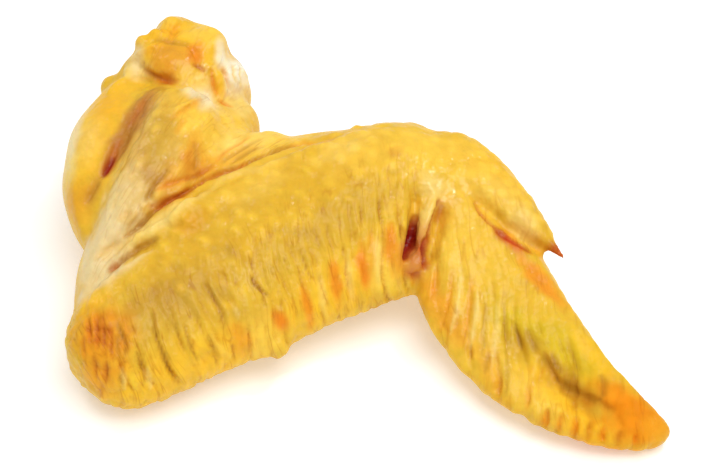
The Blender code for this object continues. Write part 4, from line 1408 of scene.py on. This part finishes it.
    def colour(self, points: np.ndarray, ragged: np.ndarray, stain_and_light_shares: list[np.ndarray],
               bump_share: np.ndarray, bump_area: np.ndarray, relief: np.ndarray) -> np.ndarray:
        """Works out the skin's colours, with painted shade in pits, valleys and creases and painted
        highlights on bumps, ridges and pale strands.

        Args:
            points: The skin's points, before the relief.
            ragged: Noise for uneven edges.
            stain_and_light_shares: For each fold, how much of its colour each point takes.
            bump_share: How far up a goose bump each point is.
            bump_area: How far inside the goose bumps' fields each point is.
            relief: The height of the ridges and puckers, negative in the valleys.

        Returns:
            Red, green, blue and 1 for each point.
        """
        colour = np.tile(np.array(Tint.GOLD.value), (len(points), 1))
        for patch in self.patches:
            share = patch.share(points, ragged)[:, None]
            colour += share * (np.array(patch.tint.value) - colour)
        mottled = 0.6 * ripple(points / 6.0, 21.0) + 0.4 * ripple(points / 2.2, 22.0)
        colour = colour * (1.0 + mottled[:, None] * self.mottle_tone)
        # Darker between the goose bumps: olive skin with painted shade.
        pits = smooth_step(0.18 - bump_share, 0.0, 0.18) * bump_area
        colour = colour * (1.0 - pits[:, None] * self.pit_shade_tone)
        # Paler bump tops: pale follicles with a painted highlight.
        lifted = smooth_step(bump_share, 0.3, 0.95)[:, None] * self.bump_paling_and_highlight
        colour += lifted * (np.minimum(colour * 1.5, np.array(Tint.BUTTER.value)) - colour)
        # Painted highlight on the ridges, painted shade in the valleys.
        colour = colour * (1.0 + smooth_step(relief, 0.05, 0.35)[:, None] * self.crest_highlight_tone)
        colour = colour * (1.0 - smooth_step(-relief, 0.12, 0.75)[:, None] * self.valley_shade_tone)
        # The folds' colours: each crease's own colour with painted shade, and painted highlights on pale
        # raised strands.
        for fold, stain_and_painted_light in zip(self.folds, stain_and_light_shares):
            colour += stain_and_painted_light[:, None] * (np.array(fold.tint.value) - colour)
        return np.column_stack((np.clip(colour, 0.0, 1.0), np.ones(len(points))))

    def wetness(self, points: np.ndarray, ragged: np.ndarray, stain_and_light_shares: list[np.ndarray]) -> np.ndarray:
        """How wet each point is: 0 on plain skin, 1 where it glistens, -1 where it is dull.

        Args:
            points: The skin's points, before the relief.
            ragged: Noise for uneven edges.
            stain_and_light_shares: For each fold, how much of its colour each point takes. The reddest ones stay dry.

        Returns:
            One number for each point.
        """
        shares = [area.share(points, ragged) for area in self.wet]
        wet = np.max(shares, axis=0) + np.min(shares, axis=0)
        for fold, stain_and_painted_light in zip(self.folds, stain_and_light_shares):
            if fold.tint in (Tint.CRIMSON, Tint.BLOOD):
                wet = wet * (1.0 - stain_and_painted_light)
        return wet

    @staticmethod
    def comb(lay: SkinMap) -> tuple[np.ndarray, np.ndarray]:
        """Works out how the skin's fine wrinkles run.

        Args:
            lay: The skin's points.

        Returns:
            The places at which the wrinkles' noise is read, and the wrinkles' strength.
        """
        along, left, up = lay.on[Limb.ULNA]
        web = smooth_step(left, 12.5, 14.5) * smooth_step(along, 22.0, 26.0)
        web_grain = np.column_stack(((left - 0.27 * along) * 0.9, along * 0.16, up * 0.2))
        web_ends = (1.0 - smooth_step(left, 17.0, 22.0)) * (1.0 - smooth_step(along, 48.0, 58.0))
        flat_grain = np.column_stack((lay.flat_rows * 0.45, left * 0.20, up * 0.20))
        grain = np.where((web > 0.5)[:, None], web_grain, flat_grain)
        strength = np.where(web > 0.5, web_ends * 1.2, smooth_step(-left, -4.0, 5.0))
        strength = strength * smooth_step(np.abs(web - 0.5), 0.0, 0.3)
        strength = strength * smooth_step(lay.share[Limb.ULNA], 0.5, 0.75)
        elbow = (1.0 - smooth_step(along, 6.0, 11.0)) * smooth_step(-left, -5.0, 0.0)
        elbow = elbow * (1.0 - smooth_step(lay.share[Limb.HAND], 0.1, 0.2))
        elbow_grain = (lay.flat_rows * 0.6, left * 0.16, up * 0.16)
        along, _, up = lay.on[Limb.HAND]
        hand_grain = (lay.hand_rows * 0.45, lay.hand_down * 0.13, up * 0.16)
        hand_strength = 0.75 * smooth_step(along, 8.0, 20.0)
        along, left, up = lay.on[Limb.HUMERUS]
        arm_grain = (lay.arm_rows * 0.6, along * 0.2, up * 0.3)
        arm_strength = 0.6 * (1.0 - smooth_step(left, 5.0, 8.0))
        for limb, own_grain, own in ((Limb.HAND, hand_grain, hand_strength),
                                     (Limb.HUMERUS, arm_grain, arm_strength)):
            inside = lay.share[limb] > 0.5
            grain = np.where(inside[:, None], np.column_stack(own_grain), grain)
            strength = np.where(inside, own * smooth_step(lay.share[limb], 0.5, 0.75), strength)
        grain = np.where((elbow > 0.5)[:, None], np.column_stack(elbow_grain), grain)
        strength = np.where(elbow > 0.5, 1.1, strength) * smooth_step(np.abs(elbow - 0.5), 0.0, 0.3)
        return grain, strength


@dataclass
class Studio:
    """The camera, the white table and the soft lights."""

    view: Viewpoint = VIEW
    table_half: float = 1500.0
    world_light: float = 0.50
    table_glow: float = 0.27
    key_power: float = 3.1
    back_power: float = 0.38
    spark_power: float = 0.45

    def build(self) -> None:
        """Sets up the table, the lights and the camera."""
        self.table()
        self.lights()
        self.camera()

    def table(self) -> None:
        """A wide plain white table top at z = 0."""
        half = self.table_half * MM
        shape = bmesh.new()
        signs = ((-1, -1), (1, -1), (1, 1), (-1, 1))
        shape.faces.new([shape.verts.new((x * half, y * half, 0.0)) for x, y in signs])
        mesh = bpy.data.meshes.new("table_top")
        shape.to_mesh(mesh)
        shape.free()
        table = bpy.data.objects.new("table_top", mesh)
        bpy.context.scene.collection.objects.link(table)
        white = bpy.data.materials.new("white_table")
        white.use_nodes = True
        shader = white.node_tree.nodes["Principled BSDF"]
        shader.inputs["Base Color"].default_value = (0.92, 0.93, 0.94, 1.0)
        shader.inputs["Roughness"].default_value = 0.7
        shader.inputs["Emission Color"].default_value = (0.98, 0.985, 0.99, 1.0)
        shader.inputs["Emission Strength"].default_value = self.table_glow
        mesh.materials.append(white)
        table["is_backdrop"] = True

    def lights(self) -> None:
        """A bright even sky, a broad key light, a weaker one behind, and a small one for wet highlights."""
        world = bpy.data.worlds.new("studio_sky")
        world.use_nodes = True
        sky = world.node_tree.nodes["Background"]
        sky.inputs["Color"].default_value = (1.0, 0.99, 0.97, 1.0)
        sky.inputs["Strength"].default_value = self.world_light
        bpy.context.scene.world = world
        self.softbox("key_light", (160.0, -200.0, 750.0), 520.0, self.key_power)
        self.softbox("back_light", (-300.0, 240.0, 520.0), 180.0, self.back_power)
        self.softbox("spark_light", (240.0, 120.0, 560.0), 60.0, self.spark_power)
        view = bpy.context.scene.view_settings
        view.view_transform = "Standard"
        view.look = "None"

    @staticmethod
    def softbox(name: str, place: tuple[float, float, float], size: float, power: float) -> None:
        """A square soft light that faces the wing.

        Args:
            name: The light's name.
            place: Where it stands.
            size: Its side.
            power: Its power in watts.
        """
        lamp = bpy.data.lights.new(name, "AREA")
        lamp.energy = power
        lamp.size = size * MM
        holder = bpy.data.objects.new(name, lamp)
        holder.location = Vector(place) * MM
        holder.rotation_euler = (-Vector(place)).to_track_quat("-Z", "Y").to_euler()
        bpy.context.scene.collection.objects.link(holder)

    def camera(self) -> None:
        """The camera, in front of the wing and above it."""
        camera = bpy.data.cameras.new("camera")
        camera.lens = self.view.lens
        camera.sensor_width = self.view.sensor
        holder = bpy.data.objects.new("camera", camera)
        holder.location = self.view.position * MM
        holder.rotation_euler = (-self.view.outward).to_track_quat("-Z", "Y").to_euler()
        bpy.context.scene.collection.objects.link(holder)
        bpy.context.scene.camera = holder


def corners(box: object) -> list[list[float]]:
    """A box's two corners as plain lists of numbers."""
    return [[float(value) for value in corner] for corner in box]


def main() -> None:
    """Builds the wing and its studio."""
    logging.basicConfig(level=logging.INFO, format="%(message)s")
    skin = WingSkin().build()
    LOG.info("%s: %d points, %d faces", skin.name, len(skin.data.vertices), len(skin.data.polygons))
    Studio().build()
    LOG.info("studio ready")
    {"cad": corners(CAD_BOX), "visual": corners(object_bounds())}


if __name__ == "__main__":
    main()
